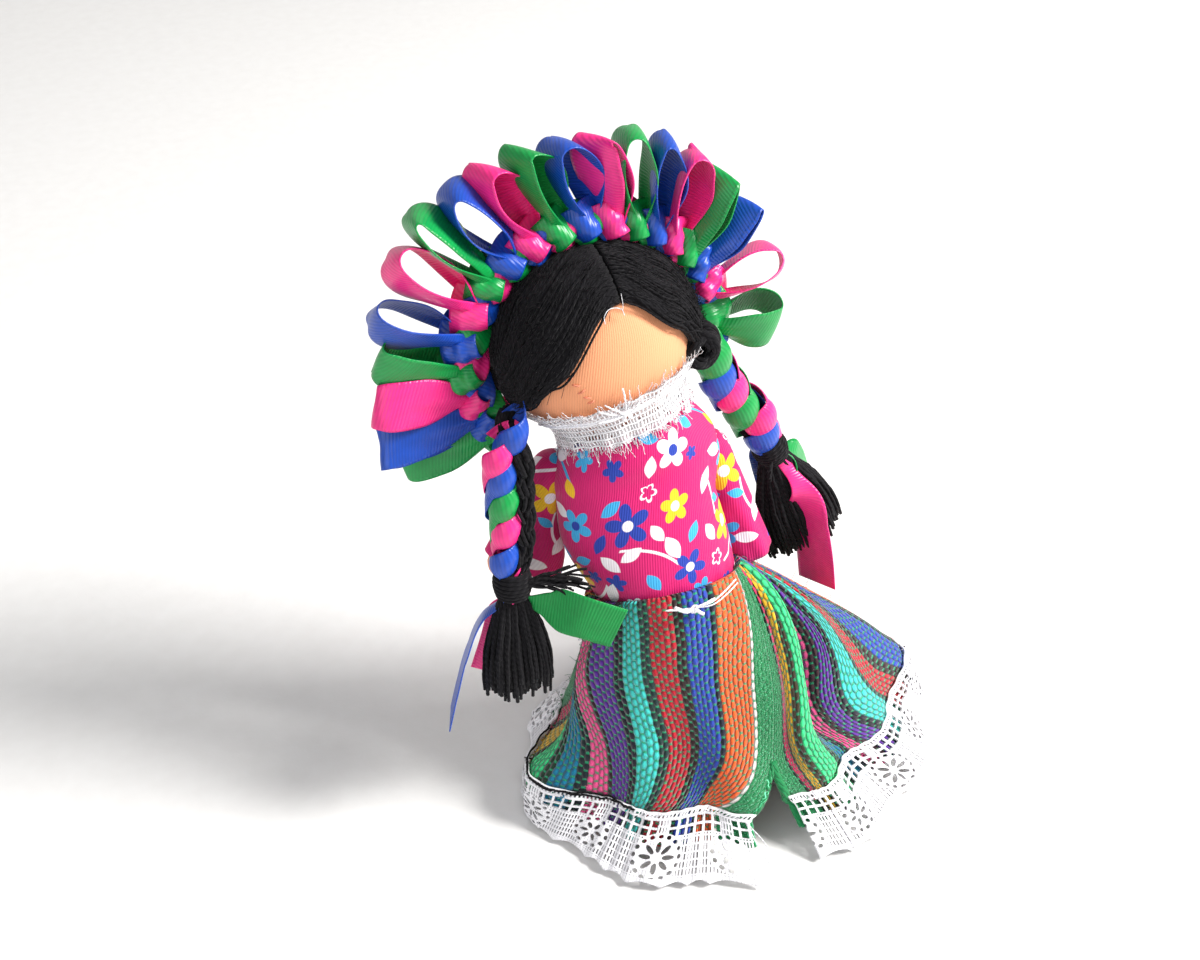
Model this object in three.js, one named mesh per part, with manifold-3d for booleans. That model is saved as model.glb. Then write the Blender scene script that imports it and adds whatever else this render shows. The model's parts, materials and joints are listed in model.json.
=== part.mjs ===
// Rag doll with a plaited ribbon headdress, in millimetres, +Z up, the doll facing -Y.
// Its own right is -X. The body leans back and to its right on a wide standing skirt.
import * as THREE from "three";
import * as BufferGeometryUtils from "three/addons/utils/BufferGeometryUtils.js";
import Module from "manifold-3d";

const wasm = await Module();
wasm.setup();

// Clearances and cloth
const SEAT_GAP = 0.3;
const COTTON = 0.5;
const HANDWOVEN = 1.1;
const LACE = 0.5;
const THREAD_R = 0.45;

// Lean of the upper body and set of the head, in degrees
const LEAN_BACK = -14.5;
const LEAN_RIGHT = -14;
const HEAD_PITCH = -4;
const HEAD_ROLL = -8;

// Heights along the leaning body, measured from the waist
const WAIST = { x: -9, y: 4, z: 44 };
const TORSO_BOTTOM = -7;
const TORSO_TOP = 32;
const HEAD_CENTRE = 52;
const TORSO_HALF_WIDTH = 13.2;
const TORSO_HALF_DEPTH = 11.2;
const NECK_R = 9;
const NECK_DEPTH_SHARE = 0.9;
const SHOULDER_STEP = 0.9;

// Head and hair
const HEAD_HALF_WIDTH = 17;
const HEAD_HALF_DEPTH = 15;
const HEAD_HALF_HEIGHT = 17.2;
const HEAD_NECK_DROP = 13.5;
const HAIR_THICKNESS = 1.5;
const PARTING_X = 2.3;
const PARTING_GAP = 0.4;

// Headdress: a plait of three ribbons round the head, each drawn out into loops
const CROWN = { x: -0.7, y: 1, halfWidth: 22.8, halfHeight: 22.2 };
const PLAIT_SWING = 1.8;
const PLAIT_DEPTH = 1.7;
const PLAIT_RIBBON_HALF_WIDTH = 0.92;
const PLAIT_RIBBON_HALF_THICKNESS = 0.55;
const LOOP_RIBBON_WIDTH = 8.4;
const LOOP_ROOT_WIDTH = 2.2;
const LOOP_THICKNESS = 0.5;

// Hanging braids
const BRAID_SWING = 1.95;
const BRAID_DEPTH = 1.7;
const BRAID_PITCH = 15;
const BRAID_RIBBON_HALF_WIDTH = 1;
const BRAID_RIBBON_HALF_THICKNESS = 0.55;
const BRAID_YARN_HALF_WIDTH = 2.7;
const BRAID_YARN_HALF_DEPTH = 1.2;
const TAIL_HALF_WIDTH = 4.4;
const TAIL_HALF_THICKNESS = 0.3;
const TIE_R = 3.8;
const TIE_WALL = 0.9;
const TIE_ROUNDING = 0.3;
const TIE_HEIGHT = 4.6;

// Arms and legs
const ARM_LENGTH = 22;
const ARM_R = 3;
const WRIST_R = 2.6;
const HAND_R = 3.2;
const SLEEVE_R = 3.9;
const SLEEVE_LENGTH = 19;
const LEG_R = 5.2;
const ANKLE_R = 4;
const FOOT_HALF_LENGTH = 6.2;
const FOOT_HALF_WIDTH = 4.2;
const FOOT_BACK = 4.5;
const FOOT_HEIGHT = 5.6;
const SOLE_ROUNDING = 0.6;
const HIP_SPACING = 11.4;

// Skirt and its lace edging
const WAISTBAND = { rise: 2.6, acrossSlope: -0.24, depthSlope: -0.28 };
const SKIRT_HALF_WIDTH = 44.5;
const SKIRT_HALF_DEPTH = 27.5;
const SKIRT_HEIGHT = 9;
const SKIRT_TURN = 4;
const SKIRT_SQUARENESS = 1.35;
const SKIRT_SWELL = { middle: -0.01, side: 0.09 };
const SKIRT_FOLDS = 10;
const SKIRT_FOLD_DEPTH = 1.3;
const LACE_WIDTH = 18;
const LACE_HALF_WIDTH = 44.5;
const LACE_HALF_DEPTH = 35.5;
const LACE_TURN = 9;
const LACE_SHIFT = 1.5;
const LACE_OVERLAP = 7.5;
const SLIT_FRONT = -94;
const SLIT_TOP = 0.84;
const SLIT_HALF_ANGLE = 10;
const STRING_LEVEL = 0.05;

// Sides of the round forms and steps along the ribbons
const BODY_SIDES = 18;
const LIMB_SIDES = 12;
const CORE_SIDES = 10;
const RIBBON_SIDES = 6;
const PLAIT_STEPS_PER_LOOP = 3.5;
const LOOP_STATIONS = 11;
const BRAID_STEPS_PER_PITCH = 10;
const TAIL_STEPS = 8;
const SKIRT_COLUMNS = 48;
const WAIST_COLUMNS = 24;
const COLLAR_SIDES = 20;

const COLOURS = {
  skin: "#f0b47d", wadding: "#f2ece0", yarn: "#17161b", blouse: "#c92370",
  green: "#179147", blue: "#2250ae", pink: "#e22a7b", lace: "#f4f2f4",
  skirt: "#b0243f", thread: "#f6f6f6",
};

const rad = THREE.MathUtils.degToRad;
const lerp = THREE.MathUtils.lerp;
const smoothstep = THREE.MathUtils.smoothstep;
const vec = (x, y, z) => new THREE.Vector3(x, y, z);

const doll = new THREE.Group();
const upperBody = new THREE.Group();
upperBody.position.set(WAIST.x, WAIST.y, WAIST.z);
upperBody.rotation.set(rad(LEAN_BACK), rad(LEAN_RIGHT), 0);
upperBody.updateMatrixWorld(true);
const headGroup = new THREE.Group();
headGroup.position.copy(upperBody.localToWorld(vec(0, 0, HEAD_CENTRE)));
headGroup.rotation.set(rad(HEAD_PITCH), rad(HEAD_ROLL), 0);
headGroup.updateMatrixWorld(true);
doll.add(upperBody, headGroup);

// Points of the head's frame as the leaning body's frame sees them
const fromHead = (point) => upperBody.worldToLocal(headGroup.localToWorld(point.clone()));

function material(colour, roughness = 0.9) {
  return new THREE.MeshStandardMaterial({ color: COLOURS[colour], roughness, metalness: 0 });
}

function add(group, name, geometry, colour, roughness) {
  const mesh = new THREE.Mesh(geometry, material(colour, roughness));
  mesh.name = name;
  group.add(mesh);
  return mesh;
}

// A closed geometry's volume, negative when its faces point in
function signedVolume(positions, index) {
  let six = 0;
  const a = vec(0, 0, 0);
  const b = vec(0, 0, 0);
  const c = vec(0, 0, 0);
  for (let i = 0; i < index.length; i += 3) {
    a.fromArray(positions, 3 * index[i]);
    b.fromArray(positions, 3 * index[i + 1]);
    c.fromArray(positions, 3 * index[i + 2]);
    six += a.dot(b.cross(c));
  }
  return six / 6;
}

// Geometry of shared points and triangles, with its faces turned outwards
function closedGeometry(points, index) {
  const positions = points.flatMap((p) => [p.x, p.y, p.z]);
  if (signedVolume(positions, index) < 0) index.reverse();
  const geometry = new THREE.BufferGeometry();
  geometry.setAttribute("position", new THREE.Float32BufferAttribute(positions, 3));
  geometry.setIndex(index);
  return geometry;
}

// Skin over a row of rings with equal numbers of points, capped at both ends or joined end to end
function loft(rings, endToEnd = false) {
  const points = rings.flat();
  const sides = rings[0].length;
  const index = [];
  const spans = endToEnd ? rings.length : rings.length - 1;
  for (let i = 0; i < spans; i += 1) {
    const low = i * sides;
    const high = ((i + 1) % rings.length) * sides;
    for (let j = 0; j < sides; j += 1) {
      const k = (j + 1) % sides;
      index.push(low + j, low + k, high + k, low + j, high + k, high + j);
    }
  }
  if (!endToEnd) {
    const middle = (ring) => ring.reduce((sum, p) => sum.add(p), vec(0, 0, 0)).divideScalar(sides);
    const first = points.push(middle(rings[0])) - 1;
    const last = points.push(middle(rings[rings.length - 1])) - 1;
    const top = (rings.length - 1) * sides;
    for (let j = 0; j < sides; j += 1) {
      const k = (j + 1) % sides;
      index.push(first, k, j, last, top + j, top + k);
    }
  }
  return closedGeometry(points, index);
}

// An ellipse of half-widths a and b, in the plane of the unit vectors across and along
function ellipse(centre, across, along, a, b, sides) {
  return Array.from({ length: sides }, (_, j) => {
    const turn = (2 * Math.PI * j) / sides;
    return centre.clone()
      .addScaledVector(across, a * Math.cos(turn))
      .addScaledVector(along, b * Math.sin(turn));
  });
}

const X_AXIS = vec(1, 0, 0);
const Y_AXIS = vec(0, 1, 0);
const level = (z, a, b, sides, x = 0, y = 0) => ellipse(vec(x, y, z), X_AXIS, Y_AXIS, a, b, sides);

// Ribbon, cord or limb along a path: its section is an ellipse whose wide way is given at each point
function sweep(path, wideWay, halfWidth, halfThickness, sides) {
  const rings = path.map((point, i) => {
    const before = path[Math.max(i - 1, 0)];
    const after = path[Math.min(i + 1, path.length - 1)];
    const along = after.clone().sub(before).normalize();
    const wide = wideWay(i).clone().addScaledVector(along, -wideWay(i).dot(along)).normalize();
    const thin = along.clone().cross(wide);
    return ellipse(point, wide, thin, halfWidth(i), halfThickness(i), sides);
  });
  return loft(rings);
}

function toSolid(geometry) {
  const bare = geometry.clone();
  bare.deleteAttribute("normal");
  bare.deleteAttribute("uv");
  const merged = BufferGeometryUtils.mergeVertices(bare, 1e-5);
  return new wasm.Manifold(new wasm.Mesh({
    numProp: 3,
    vertProperties: new Float32Array(merged.getAttribute("position").array),
    triVerts: new Uint32Array(merged.getIndex().array),
  }));
}

function toGeometry(solid) {
  const mesh = solid.getMesh();
  const geometry = new THREE.BufferGeometry();
  geometry.setAttribute("position", new THREE.Float32BufferAttribute(mesh.vertProperties, 3));
  geometry.setIndex([...mesh.triVerts]);
  return geometry;
}

// Torso: half-widths of the stuffed body and its sideways set, at heights above the waist
const TORSO_SHAPE = [
  { z: TORSO_BOTTOM, share: 0.45, x: -2.6 }, { z: TORSO_BOTTOM + 1.5, share: 0.78, x: -2.6 },
  { z: -4, share: 0.88, x: -2.6 }, { z: 4, share: 0.96, x: -2.6 }, { z: 11, share: 1, x: -2.6 },
  { z: 19, share: 1, x: -2.2 }, { z: 25, share: 0.92, x: -1.3 }, { z: 29, share: 0.8, x: -0.6 },
];
const BLOUSE_FROM = 2;

function torsoAt(z) {
  const above = TORSO_SHAPE.findIndex((ring) => ring.z > z);
  const low = TORSO_SHAPE[above - 1];
  const high = TORSO_SHAPE[above];
  const t = (z - low.z) / (high.z - low.z);
  return { share: lerp(low.share, high.share, t), x: lerp(low.x, high.x, t) };
}

function torsoRings(grow) {
  const rings = TORSO_SHAPE.map(({ z, share, x }, i) => {
    const drop = i === 0 ? grow : 0;
    return level(z - drop, TORSO_HALF_WIDTH * share + grow, TORSO_HALF_DEPTH * share + grow, BODY_SIDES, x);
  });
  const top = NECK_R + SHOULDER_STEP + grow;
  rings.push(level(TORSO_TOP + Math.min(grow, 0), top, top * NECK_DEPTH_SHARE, BODY_SIDES));
  return rings;
}

// A cloth cover open at its last ring: the outer rings, then the inner ones back again
function coverOpenAtEnd(outer, inner) {
  return loft([...outer, ...inner.slice().reverse()]);
}

function buildTorso() {
  const cover = coverOpenAtEnd(torsoRings(0), withTop(torsoRings(-COTTON), TORSO_TOP));
  add(upperBody, "torso_cover", cover, "skin");
  const core = withTop(torsoRings(-COTTON - SEAT_GAP), TORSO_TOP);
  add(upperBody, "torso_stuffing", loft(core), "wadding", 1);
  const outer = torsoRings(SEAT_GAP + COTTON).slice(BLOUSE_FROM);
  const inner = torsoRings(SEAT_GAP).slice(BLOUSE_FROM);
  const blouse = [...outer, ...inner.slice().reverse()];
  add(upperBody, "blouse", loft(blouse, true), "blouse");
}

// The same rings with the last one moved to a height
function withTop(rings, z) {
  const top = rings[rings.length - 1].map((p) => vec(p.x, p.y, z));
  return [...rings.slice(0, -1), top];
}

// Neck: a short stuffed stub between the shoulders and the underside of the head. The collar flares
// round it, at shares of its height, and a thread gathers the collar.
const NECK_DOME = 1.5;
const COLLAR = [
  { share: 0.05, r: NECK_R + 1.4 },
  { share: 0.55, r: NECK_R + 2.5 },
  { share: 1.1, r: NECK_R + 3.5 },
];
const COLLAR_TIE = { share: 0.75, r: NECK_R + 2.9, knot: 0.72 };

function neckRing(share, radius, sides) {
  const foot = vec(0, 0, TORSO_TOP + SEAT_GAP + NECK_DOME);
  const head = fromHead(vec(0, 0, -HEAD_NECK_DROP - SEAT_GAP));
  const headX = fromHead(vec(1, 0, -HEAD_NECK_DROP - SEAT_GAP)).sub(head);
  const headY = fromHead(vec(0, 1, -HEAD_NECK_DROP - SEAT_GAP)).sub(head);
  const centre = foot.lerp(head, share);
  const across = X_AXIS.clone().lerp(headX, share).normalize();
  const along = Y_AXIS.clone().lerp(headY, share).normalize();
  return ellipse(centre, across, along, radius, radius * NECK_DEPTH_SHARE, sides);
}

function buildNeck() {
  const foot = level(TORSO_TOP + SEAT_GAP, NECK_R * 0.25, NECK_R * 0.25 * NECK_DEPTH_SHARE, BODY_SIDES);
  const stub = [{ share: 0, r: NECK_R }, { share: 0.5, r: NECK_R - 0.2 }, { share: 1, r: NECK_R }];
  const rings = [foot, ...stub.map(({ share, r }) => neckRing(share, r, BODY_SIDES))];
  add(upperBody, "neck", loft(rings), "skin");
  const outer = COLLAR.map(({ share, r }) => neckRing(share, r, COLLAR_SIDES));
  const inner = COLLAR.map(({ share, r }) => neckRing(share, r - LACE, COLLAR_SIDES));
  add(upperBody, "lace_collar", loft([...outer, ...inner.reverse()], true), "lace");
  const proud = SEAT_GAP + THREAD_R;
  const around = neckRing(COLLAR_TIE.share, COLLAR_TIE.r + proud, COLLAR_SIDES);
  const knot = around[Math.round(COLLAR_SIDES * COLLAR_TIE.knot)];
  const ends = [
    [knot, knot.clone().add(vec(-1.6, -2.2, 1)), knot.clone().add(vec(-2.6, -3, 3.2))],
    [knot, knot.clone().add(vec(1.4, -2.2, 0.8)), knot.clone().add(vec(3, -2.8, 2.6))],
  ];
  add(upperBody, "collar_tie", cord(around, ends), "thread");
}

// A thread tied round something: a closed ring of points and its loose ends, joined as one body
function cord(around, ends) {
  const count = around.length;
  const rings = around.map((point, i) => {
    const along = around[(i + 1) % count].clone().sub(around[(i + count - 1) % count]).normalize();
    const across = along.clone().cross(along.z > 0.9 ? X_AXIS : vec(0, 0, 1)).normalize();
    return ellipse(point, across, along.clone().cross(across), THREAD_R, THREAD_R, RIBBON_SIDES);
  });
  let solid = toSolid(loft(rings, true));
  for (const end of ends) {
    const path = new THREE.CatmullRomCurve3(end, false, "centripetal").getPoints(2 * end.length);
    solid = solid.add(toSolid(threadAlong(path, vec(0.2, 1, 0.1))));
  }
  return toGeometry(solid);
}

// Underside of the head: it draws in from the cheeks to the neck opening
const CHIN = [
  { r: HEAD_HALF_WIDTH - 2.4, z: -HEAD_NECK_DROP + 5.5 },
  { r: HEAD_HALF_WIDTH - 5, z: -HEAD_NECK_DROP + 2.7 },
  { r: NECK_R + 0.8, z: -HEAD_NECK_DROP },
];

// Head: outline from the crown of the head down to the neck opening, as radius and height
function headOutline(inset) {
  const points = [];
  const steps = 9;
  for (let i = 0; i <= steps; i += 1) {
    const turn = rad(lerp(90, -14, i / steps));
    const r = (HEAD_HALF_WIDTH - inset) * Math.cos(turn);
    points.push({ r, z: (HEAD_HALF_HEIGHT - inset) * Math.sin(turn) });
  }
  for (const { r, z } of CHIN) points.push({ r: r - inset, z });
  return points;
}

function headRings(inset, sides) {
  const depthShare = HEAD_HALF_DEPTH / HEAD_HALF_WIDTH;
  return headOutline(inset).slice(1).map(({ r, z }) => level(z, r, r * depthShare, sides));
}

function buildHead() {
  const cover = coverOpenAtEnd(headRings(0, BODY_SIDES), headRings(COTTON, BODY_SIDES));
  add(headGroup, "head_cover", cover, "skin");
  const core = headRings(COTTON + SEAT_GAP, 16);
  const bottom = core[core.length - 1].map((p) => vec(p.x, p.y, p.z + SEAT_GAP));
  add(headGroup, "head_stuffing", loft([...core.slice(0, -1), bottom]), "wadding", 1);
}

// Hair: half a shell over the head, from the parting to the ear. Heights of its front and back edges
// are angles round the sideways axis, from straight ahead over the crown to the nape.
function hairPanel(side) {
  const rows = 8;
  const columns = 12;
  const inner = SEAT_GAP + 0.1;
  const start = Math.asin((side * PARTING_X + PARTING_GAP / 2) / HEAD_HALF_WIDTH);
  const end = rad(83);
  const frontAngle = (share) => rad(side > 0
    ? lerp(46, 22, smoothstep(share, 0, 0.45)) - 62 * smoothstep(share, 0.4, 0.9)
    : lerp(46, 6, smoothstep(share, 0, 0.6)) - 56 * smoothstep(share, 0.5, 1));
  const backAngle = (share) => rad(lerp(216, 244, smoothstep(share, 0.2, 1)));
  const point = (i, j, proud) => {
    const share = i / rows;
    const lift = proud * (1 + 0.08 * Math.sin(Math.PI * share));
    const beta = lerp(frontAngle(share), backAngle(share), j / columns);
    return overHead(side * lerp(start, end, share), beta, lift);
  };
  return patch(rows, columns, (i, j) => point(i, j, inner + HAIR_THICKNESS), (i, j) => point(i, j, inner));
}

// A point off the head's surface: gamma turns from the middle to the ear, beta from the face over the top
function overHead(gamma, beta, proud) {
  const ring = Math.cos(gamma);
  return vec(
    (HEAD_HALF_WIDTH + proud) * Math.sin(gamma),
    -(HEAD_HALF_DEPTH + proud) * ring * Math.cos(beta),
    (HEAD_HALF_HEIGHT + proud) * ring * Math.sin(beta),
  );
}

// Round thread along a path, kept from twisting by a direction that it never follows
function threadAlong(path, wide) {
  return sweep(path, () => wide, () => THREAD_R, () => THREAD_R, RIBBON_SIDES);
}

// A loose curl of white thread on the hair beside the parting
function buildPartingThread() {
  const proud = HAIR_THICKNESS + 2 * SEAT_GAP + 0.25 + THREAD_R;
  const spots = [[-5, 58], [1, 54], [8, 56], [14, 62], [11, 68], [6, 65]];
  const points = spots.map(([gamma, beta]) => overHead(rad(gamma), rad(beta), proud));
  const path = new THREE.CatmullRomCurve3(points).getPoints(14);
  add(headGroup, "parting_thread", threadAlong(path, vec(0, 0.6, -0.8)), "thread");
}

// A sheet with thickness: a grid of outer points over a grid of inner ones, walled round its edge.
// Down to closedRows its first and last columns are one and the same.
function patch(rows, columns, outer, inner, closedRows = -1) {
  const points = [];
  const at = (side, i, j) => {
    const column = i <= closedRows && j === columns ? 0 : j;
    return side * (rows + 1) * (columns + 1) + i * (columns + 1) + column;
  };
  for (const surface of [outer, inner]) {
    for (let i = 0; i <= rows; i += 1) {
      for (let j = 0; j <= columns; j += 1) points.push(surface(i, j));
    }
  }
  const index = [];
  const quad = (a, b, c, d) => index.push(a, b, c, a, c, d);
  for (let i = 0; i < rows; i += 1) {
    for (let j = 0; j < columns; j += 1) {
      quad(at(0, i, j), at(0, i + 1, j), at(0, i + 1, j + 1), at(0, i, j + 1));
      quad(at(1, i, j), at(1, i, j + 1), at(1, i + 1, j + 1), at(1, i + 1, j));
    }
  }
  for (let i = Math.max(closedRows, 0); i < rows; i += 1) {
    quad(at(0, i, 0), at(1, i, 0), at(1, i + 1, 0), at(0, i + 1, 0));
    quad(at(0, i + 1, columns), at(1, i + 1, columns), at(1, i, columns), at(0, i, columns));
  }
  for (let j = 0; j < columns; j += 1) {
    quad(at(0, 0, j + 1), at(1, 0, j + 1), at(1, 0, j), at(0, 0, j));
    quad(at(0, rows, j), at(1, rows, j), at(1, rows, j + 1), at(0, rows, j + 1));
  }
  return closedGeometry(points, index);
}

// Loops of the headdress, from the right ear over the head to the left one: where each leaves the
// plait, where its tip points and how far out it lies, its turn about its own length and its lean back
const LOOPS = [
  { root: 211, tip: 200, reach: 40.5, turn: 40, back: 14, open: 4 },
  { root: 200, tip: 189, reach: 41, turn: 40, back: -3, open: 4 },
  { root: 188, tip: 177, reach: 39.5, turn: 42, back: -3, open: 4 },
  { root: 173, tip: 165, reach: 38.5, turn: 40, back: 0, open: 4.4 },
  { root: 158, tip: 153, reach: 40.5, turn: 28, back: 0, open: 5.6 },
  { root: 142, tip: 138, reach: 41, turn: 28, back: 0, open: 5.6 },
  { root: 129, tip: 127.5, reach: 41.5, turn: 34, back: 0, open: 3.8 },
  { root: 116, tip: 118, reach: 39.5, turn: 33, back: 0, open: 3.8 },
  { root: 104, tip: 108.5, reach: 39.5, turn: 33, back: 0, open: 3.8 },
  { root: 92, tip: 99, reach: 39.5, turn: 33, back: 0, open: 3.8 },
  { root: 80, tip: 89, reach: 38, turn: 33, back: 0, open: 3.8 },
  { root: 68, tip: 79, reach: 37.5, turn: 33, back: 0, open: 3.8 },
  { root: 58, tip: 69.5, reach: 38.5, turn: 33, back: 0, open: 3.8 },
  { root: 48, tip: 60, reach: 38.3, turn: 33, back: 0, open: 3.8 },
  { root: 38, tip: 50, reach: 38, turn: 33, back: 0, open: 3.8 },
  { root: 28, tip: 40, reach: 37.5, turn: 33, back: 0, open: 3.8 },
  { root: 18, tip: 29, reach: 36.5, turn: 35, back: 0, open: 4.2 },
  { root: 6, tip: 8, reach: 38, turn: 25, back: 0, open: 6 },
  { root: -11, tip: -10, reach: 36.5, turn: 40, back: 0, open: 6 },
];
const CROWN_COLOURS = ["green", "blue", "pink"];
const loopSpots = new THREE.SplineCurve(LOOPS.map((loop, i) => new THREE.Vector2(i, loop.root)));
const CROWN_OVERRUN = 0.6;

// Angle round the crown at a count along the loops, run on past the first and last
function crownAngle(count) {
  const last = LOOPS.length - 1;
  const inside = Math.min(Math.max(count, 0), last);
  const angle = loopSpots.getPoint(inside / last).y;
  const endSlope = count < 0 ? LOOPS[1].root - LOOPS[0].root : LOOPS[last].root - LOOPS[last - 1].root;
  return rad(angle + (count - inside) * endSlope);
}

function crownPoint(angle, outwards, back) {
  return vec(
    CROWN.x + (CROWN.halfWidth + outwards) * Math.cos(angle),
    CROWN.y + back,
    (CROWN.halfHeight + outwards) * Math.sin(angle),
  );
}

// One plaited ribbon: it swings out and in, and front to back twice as often
function crownRibbon(strand) {
  const from = -CROWN_OVERRUN;
  const to = LOOPS.length - 1 + CROWN_OVERRUN;
  const steps = Math.round((to - from) * PLAIT_STEPS_PER_LOOP);
  const counts = Array.from({ length: steps + 1 }, (_, i) => lerp(from, to, i / steps));
  const swing = (count) => rad(90 + 120 * (count - strand));
  const path = counts.map((count) => crownPoint(
    crownAngle(count),
    PLAIT_SWING * Math.sin(swing(count)),
    PLAIT_DEPTH * Math.sin(2 * swing(count)),
  ));
  const outwards = (i) => vec(Math.cos(crownAngle(counts[i])), 0, Math.sin(crownAngle(counts[i])));
  const halfWidth = () => PLAIT_RIBBON_HALF_WIDTH;
  const halfThickness = () => PLAIT_RIBBON_HALF_THICKNESS;
  let solid = toSolid(sweep(path, outwards, halfWidth, halfThickness, RIBBON_SIDES));
  LOOPS.forEach((loop, i) => {
    if (i % 3 === strand) solid = solid.add(toSolid(ribbonLoop(loop)));
  });
  return toGeometry(solid);
}

// A drawn-out loop: a band round a teardrop, narrow where it leaves the plait
function ribbonLoop(loop) {
  const root = crownPoint(rad(loop.root), PLAIT_SWING, 0);
  const tipAngle = rad(loop.tip);
  const tip = vec(CROWN.x + loop.reach * Math.cos(tipAngle), CROWN.y, loop.reach * Math.sin(tipAngle));
  const flat = tip.clone().sub(root);
  const length = flat.length();
  flat.normalize();
  const lean = rad(loop.back);
  const outwards = flat.clone().multiplyScalar(Math.cos(lean)).addScaledVector(Y_AXIS, Math.sin(lean));
  const sideways = flat.clone().cross(Y_AXIS).normalize();
  const backwards = sideways.clone().cross(outwards).negate();
  const turn = rad(loop.turn);
  const wide = backwards.clone().multiplyScalar(Math.cos(turn)).addScaledVector(sideways, Math.sin(turn));
  const opening = sideways.clone().multiplyScalar(Math.cos(turn)).addScaledVector(backwards, -Math.sin(turn));
  const stations = LOOP_STATIONS;
  const teardrop = (s, start, end, breadth) => {
    const bulge = Math.sin(s) * Math.sin(s / 2) ** 1.4;
    return root.clone()
      .addScaledVector(outwards, lerp(start, end, (1 - Math.cos(s)) / 2))
      .addScaledVector(opening, breadth * 0.62 * bulge);
  };
  const rings = Array.from({ length: stations }, (_, i) => {
    const s = (2 * Math.PI * i) / stations;
    const share = (1 - Math.cos(s)) / 2;
    const half = lerp(LOOP_ROOT_WIDTH, LOOP_RIBBON_WIDTH, smoothstep(share, 0, 0.55)) / 2;
    const outer = teardrop(s, 0, length, loop.open + 2 * LOOP_THICKNESS);
    const inner = teardrop(s, 2.4, length - LOOP_THICKNESS, loop.open);
    return [
      outer.clone().addScaledVector(wide, half), outer.clone().addScaledVector(wide, -half),
      inner.clone().addScaledVector(wide, -half), inner.clone().addScaledVector(wide, half),
    ];
  });
  return loft(rings, true);
}

function buildHeaddress() {
  CROWN_COLOURS.forEach((colour, strand) => {
    add(headGroup, `crown_ribbon_${colour}`, crownRibbon(strand), colour, 0.4);
  });
}

// Hanging braids, in the doll's own frame: where each one's yarn leaves the hair, where the plait
// starts, is tied and ends, and its loose tails
const BRAIDS = {
  right: {
    root: [vec(-39.6, 10.8, 87.2), vec(-40.6, 10.6, 85)],
    top: vec(-41.5, 6.4, 82.5), tie: vec(-42.8, 2.4, 55.8), end: vec(-43, -0.4, 32),
    across: X_AXIS, brushHalfWidth: 6, brushHalfDepth: 3.2,
    tails: {
      green: { route: [vec(-37.3, -1, 51.1), vec(-32.4, -5.8, 50.9), vec(-26.4, -8.2, 48.4)],
        wide: vec(0.35, 0, 0.94) },
      blue: { route: [vec(-48.2, 3.4, 48.3), vec(-51.9, 3, 40.5), vec(-54.4, 2.2, 33), vec(-56.4, 1.2, 26.6)],
        wide: vec(0.1, 1, 0) },
      pink: { route: [vec(-46.4, -3.6, 50), vec(-49.6, -4.2, 44), vec(-51, -4.2, 37), vec(-51.6, -3.6, 31)],
        wide: vec(0.5, 0.85, 0) },
    },
  },
  left: {
    root: [vec(-2.3, 21.4, 93.3), vec(-1, 21.8, 90.4), vec(0.4, 22, 87)],
    top: vec(1.4, 14.6, 84), tie: vec(15.7, 16, 58.2), end: vec(23.5, 17.5, 34),
    across: vec(0.88, 0, 0.48), brushHalfWidth: 7.6, brushHalfDepth: 3.3,
    tails: {
      green: { route: [vec(22.4, 16.6, 55.2), vec(26.4, 17, 50.5), vec(29, 17.2, 45)], wide: vec(0, 1, 0) },
      blue: { route: [vec(12.6, 20.6, 51.5), vec(12.6, 22.6, 45), vec(13.6, 23.4, 38.5)],
        wide: vec(0.4, 1, 0) },
      pink: { route: [vec(20, 10.9, 50), vec(21.6, 11, 42.5), vec(23.2, 12, 34.5), vec(25, 13.2, 28)],
        wide: vec(0.76, 0, -0.66) },
    },
  },
};
const STRANDS = [
  { colour: "pink", across: 0, back: -1 },
  { colour: "green", across: 1, back: 0 },
  { colour: "blue", across: -1, back: 0 },
];
const BRAID_OFFSET = BRAID_DEPTH + BRAID_RIBBON_HALF_THICKNESS + 2 * SEAT_GAP + BRAID_YARN_HALF_DEPTH;
const TIED_YARN_R = 1.2;
const TIED_RIBBON_R = TIED_YARN_R + SEAT_GAP + 0.5;

// Unit vectors of a braid: down its length, across it and to its back
function braidFrame(braid) {
  const down = braid.tie.clone().sub(braid.top).normalize();
  const across = braid.across.clone().addScaledVector(down, -braid.across.dot(down)).normalize();
  const back = across.clone().cross(down);
  return { down, across, back };
}

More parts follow.
